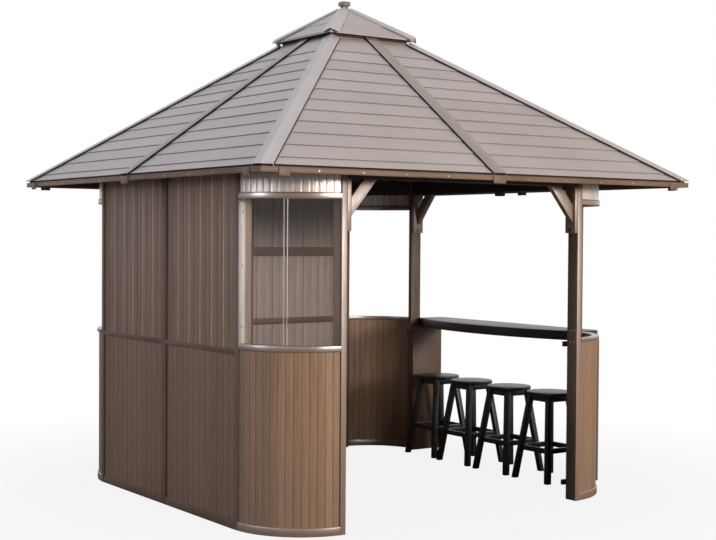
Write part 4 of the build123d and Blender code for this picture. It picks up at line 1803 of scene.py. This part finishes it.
@dataclass
class Studio:
    """Floor, lamps, background and camera."""

    eye: Point = (-5.3110, -7.7930, 1.7228)
    yaw: float = 34.92
    pitch: float = -1.44
    roll: float = 0.38
    lens: float = 68.2
    sensor: float = 36.0
    sight: float = 200.0
    floor: str = "#a09f9d"
    floor_radius: float = 60.0
    floor_drop: float = 0.0005
    near_fade: Span = (1.8, 4.2)
    near_white: float = 0.88
    far_fade: Span = (12.0, 50.0)
    ambient: float = 0.11
    lamps: tuple[SoftBox, ...] = (
        SoftBox("front_box", (2.3, -12.5, 3.3), (0, -0.5, 1.5), (7.2, 1.3), 1400.0, "#fff6ee"),
        SoftBox("left_box", (-9.0, 0.1, 2.9), (-1.2, -0.6, 1.9), (2.2, 1.3), 180.0, "#f3f3ff"),
        SoftBox("sky_box", (-7.5, -1.0, 7.0), (-0.9, -0.4, 2.6), (3.0, 3.0), 120.0, "#bcd4ff"),
        SoftBox("roof_box", (-1.0, 1.0, 10.0), (0, 0, 2.4), (8.0, 6.0), 330.0, "#f4f6ff"),
    )

    def camera(self) -> None:
        """Sets the camera where the photographer stood."""
        yaw, pitch, roll = (math.radians(a) for a in (self.yaw, self.pitch, self.roll))
        ahead = Vector((math.sin(yaw) * math.cos(pitch), math.cos(yaw) * math.cos(pitch), math.sin(pitch)))
        right = Vector((math.cos(yaw), -math.sin(yaw), 0))
        above = right.cross(ahead)
        side = right * math.cos(roll) + above * math.sin(roll)
        top = above * math.cos(roll) - right * math.sin(roll)
        data = bpy.data.cameras.new("photographer")
        data.lens, data.sensor_width, data.clip_end = self.lens, self.sensor, self.sight
        camera = bpy.data.objects.new("photographer", data)
        camera.matrix_world = axes(Vector(self.eye), side, top, -ahead)
        bpy.context.scene.collection.objects.link(camera)
        bpy.context.scene.camera = camera

    def world(self) -> None:
        """White where it is seen, and a plain level of light elsewhere."""
        world = bpy.data.worlds.new("studio")
        bpy.context.scene.world = world
        world.use_nodes = True
        tree = Tree(world.node_tree)
        white = linear("#ffffff")
        lit = settle(world.node_tree.nodes["Background"], Color=white, Strength=self.ambient)
        seen = settle(tree.node("ShaderNodeBackground"), Color=white)
        path = tree.node("ShaderNodeLightPath")
        rays = tree.sum("MAXIMUM", path.outputs["Is Camera Ray"], path.outputs["Is Glossy Ray"])
        rays = tree.sum("MAXIMUM", rays, path.outputs["Is Transmission Ray"])
        tree.surface(rays, lit, seen, "World Output")

    def floor_material(self) -> Material:
        """Pale paint that fades to the white of the background as it is seen further out."""
        material, tree, shader = open_material("pale_floor")
        settle(shader, Base_Color=linear(self.floor), Roughness=0.9, Specular_IOR_Level=0.1)
        far = tree.node("ShaderNodeVectorMath", operation="LENGTH")
        tree.wire(tree.coordinates(), far.inputs[0])
        near_white = tree.stretch(far.outputs["Value"], *self.near_fade, self.near_white)
        far_white = tree.stretch(far.outputs["Value"], *self.far_fade)
        path = tree.node("ShaderNodeLightPath")
        seen = tree.sum("MAXIMUM", path.outputs["Is Camera Ray"], path.outputs["Is Transmission Ray"])
        seen = tree.sum("MULTIPLY", seen, near_white)
        mirrored = tree.sum("MULTIPLY", path.outputs["Is Glossy Ray"], far_white)
        white = settle(tree.node("ShaderNodeEmission"), Strength=1.0)
        tree.surface(tree.sum("MAXIMUM", seen, mirrored), shader, white, "Material Output")
        return material

    def ground(self) -> None:
        """The floor, a hair below the house."""
        form = Form()
        bmesh.ops.create_circle(form.bm, cap_ends=True, radius=self.floor_radius, segments=96)
        mesh = bpy.data.meshes.new("studio_floor")
        form.bm.to_mesh(mesh)
        form.bm.free()
        mesh.materials.append(self.floor_material())
        floor = bpy.data.objects.new("studio_floor", mesh)
        floor.location.z = -self.floor_drop
        bpy.context.scene.collection.objects.link(floor)

    def build(self) -> None:
        """Builds the whole studio."""
        self.camera()
        self.world()
        self.ground()
        for lamp in self.lamps:
            lamp.build()


def main() -> None:
    """Builds the house, one sub-assembly after another."""
    logging.basicConfig(level=logging.INFO, format="%(message)s")
    bpy.context.scene.view_settings.view_transform = "Standard"
    finishes = Finishes()
    Studio().build()
    CornerBoards(finishes).build()
    CornerRails(finishes).build()
    CornerWindow(finishes).build()
    for side in (Side.LEFT, Side.BACK):
        ClosedWall(finishes, side).build()
    PostsAndBeams(finishes).build()
    # Rafters and collar take the near-black beam finish, painted shade under the roof.
    repaint("rafters", finishes.beams[Run.UP])
    repaint("rafter_collar", finishes.beams[Run.ALONG_X])
    for part in (RoofFaces, RoofTrim, UpperTier, Fasteners, Bar):
        part(finishes).build()
    for number, place in enumerate(STOOL_PLACES, start=1):
        Stool(finishes, number, place).build()


if __name__ == "__main__":
    main()
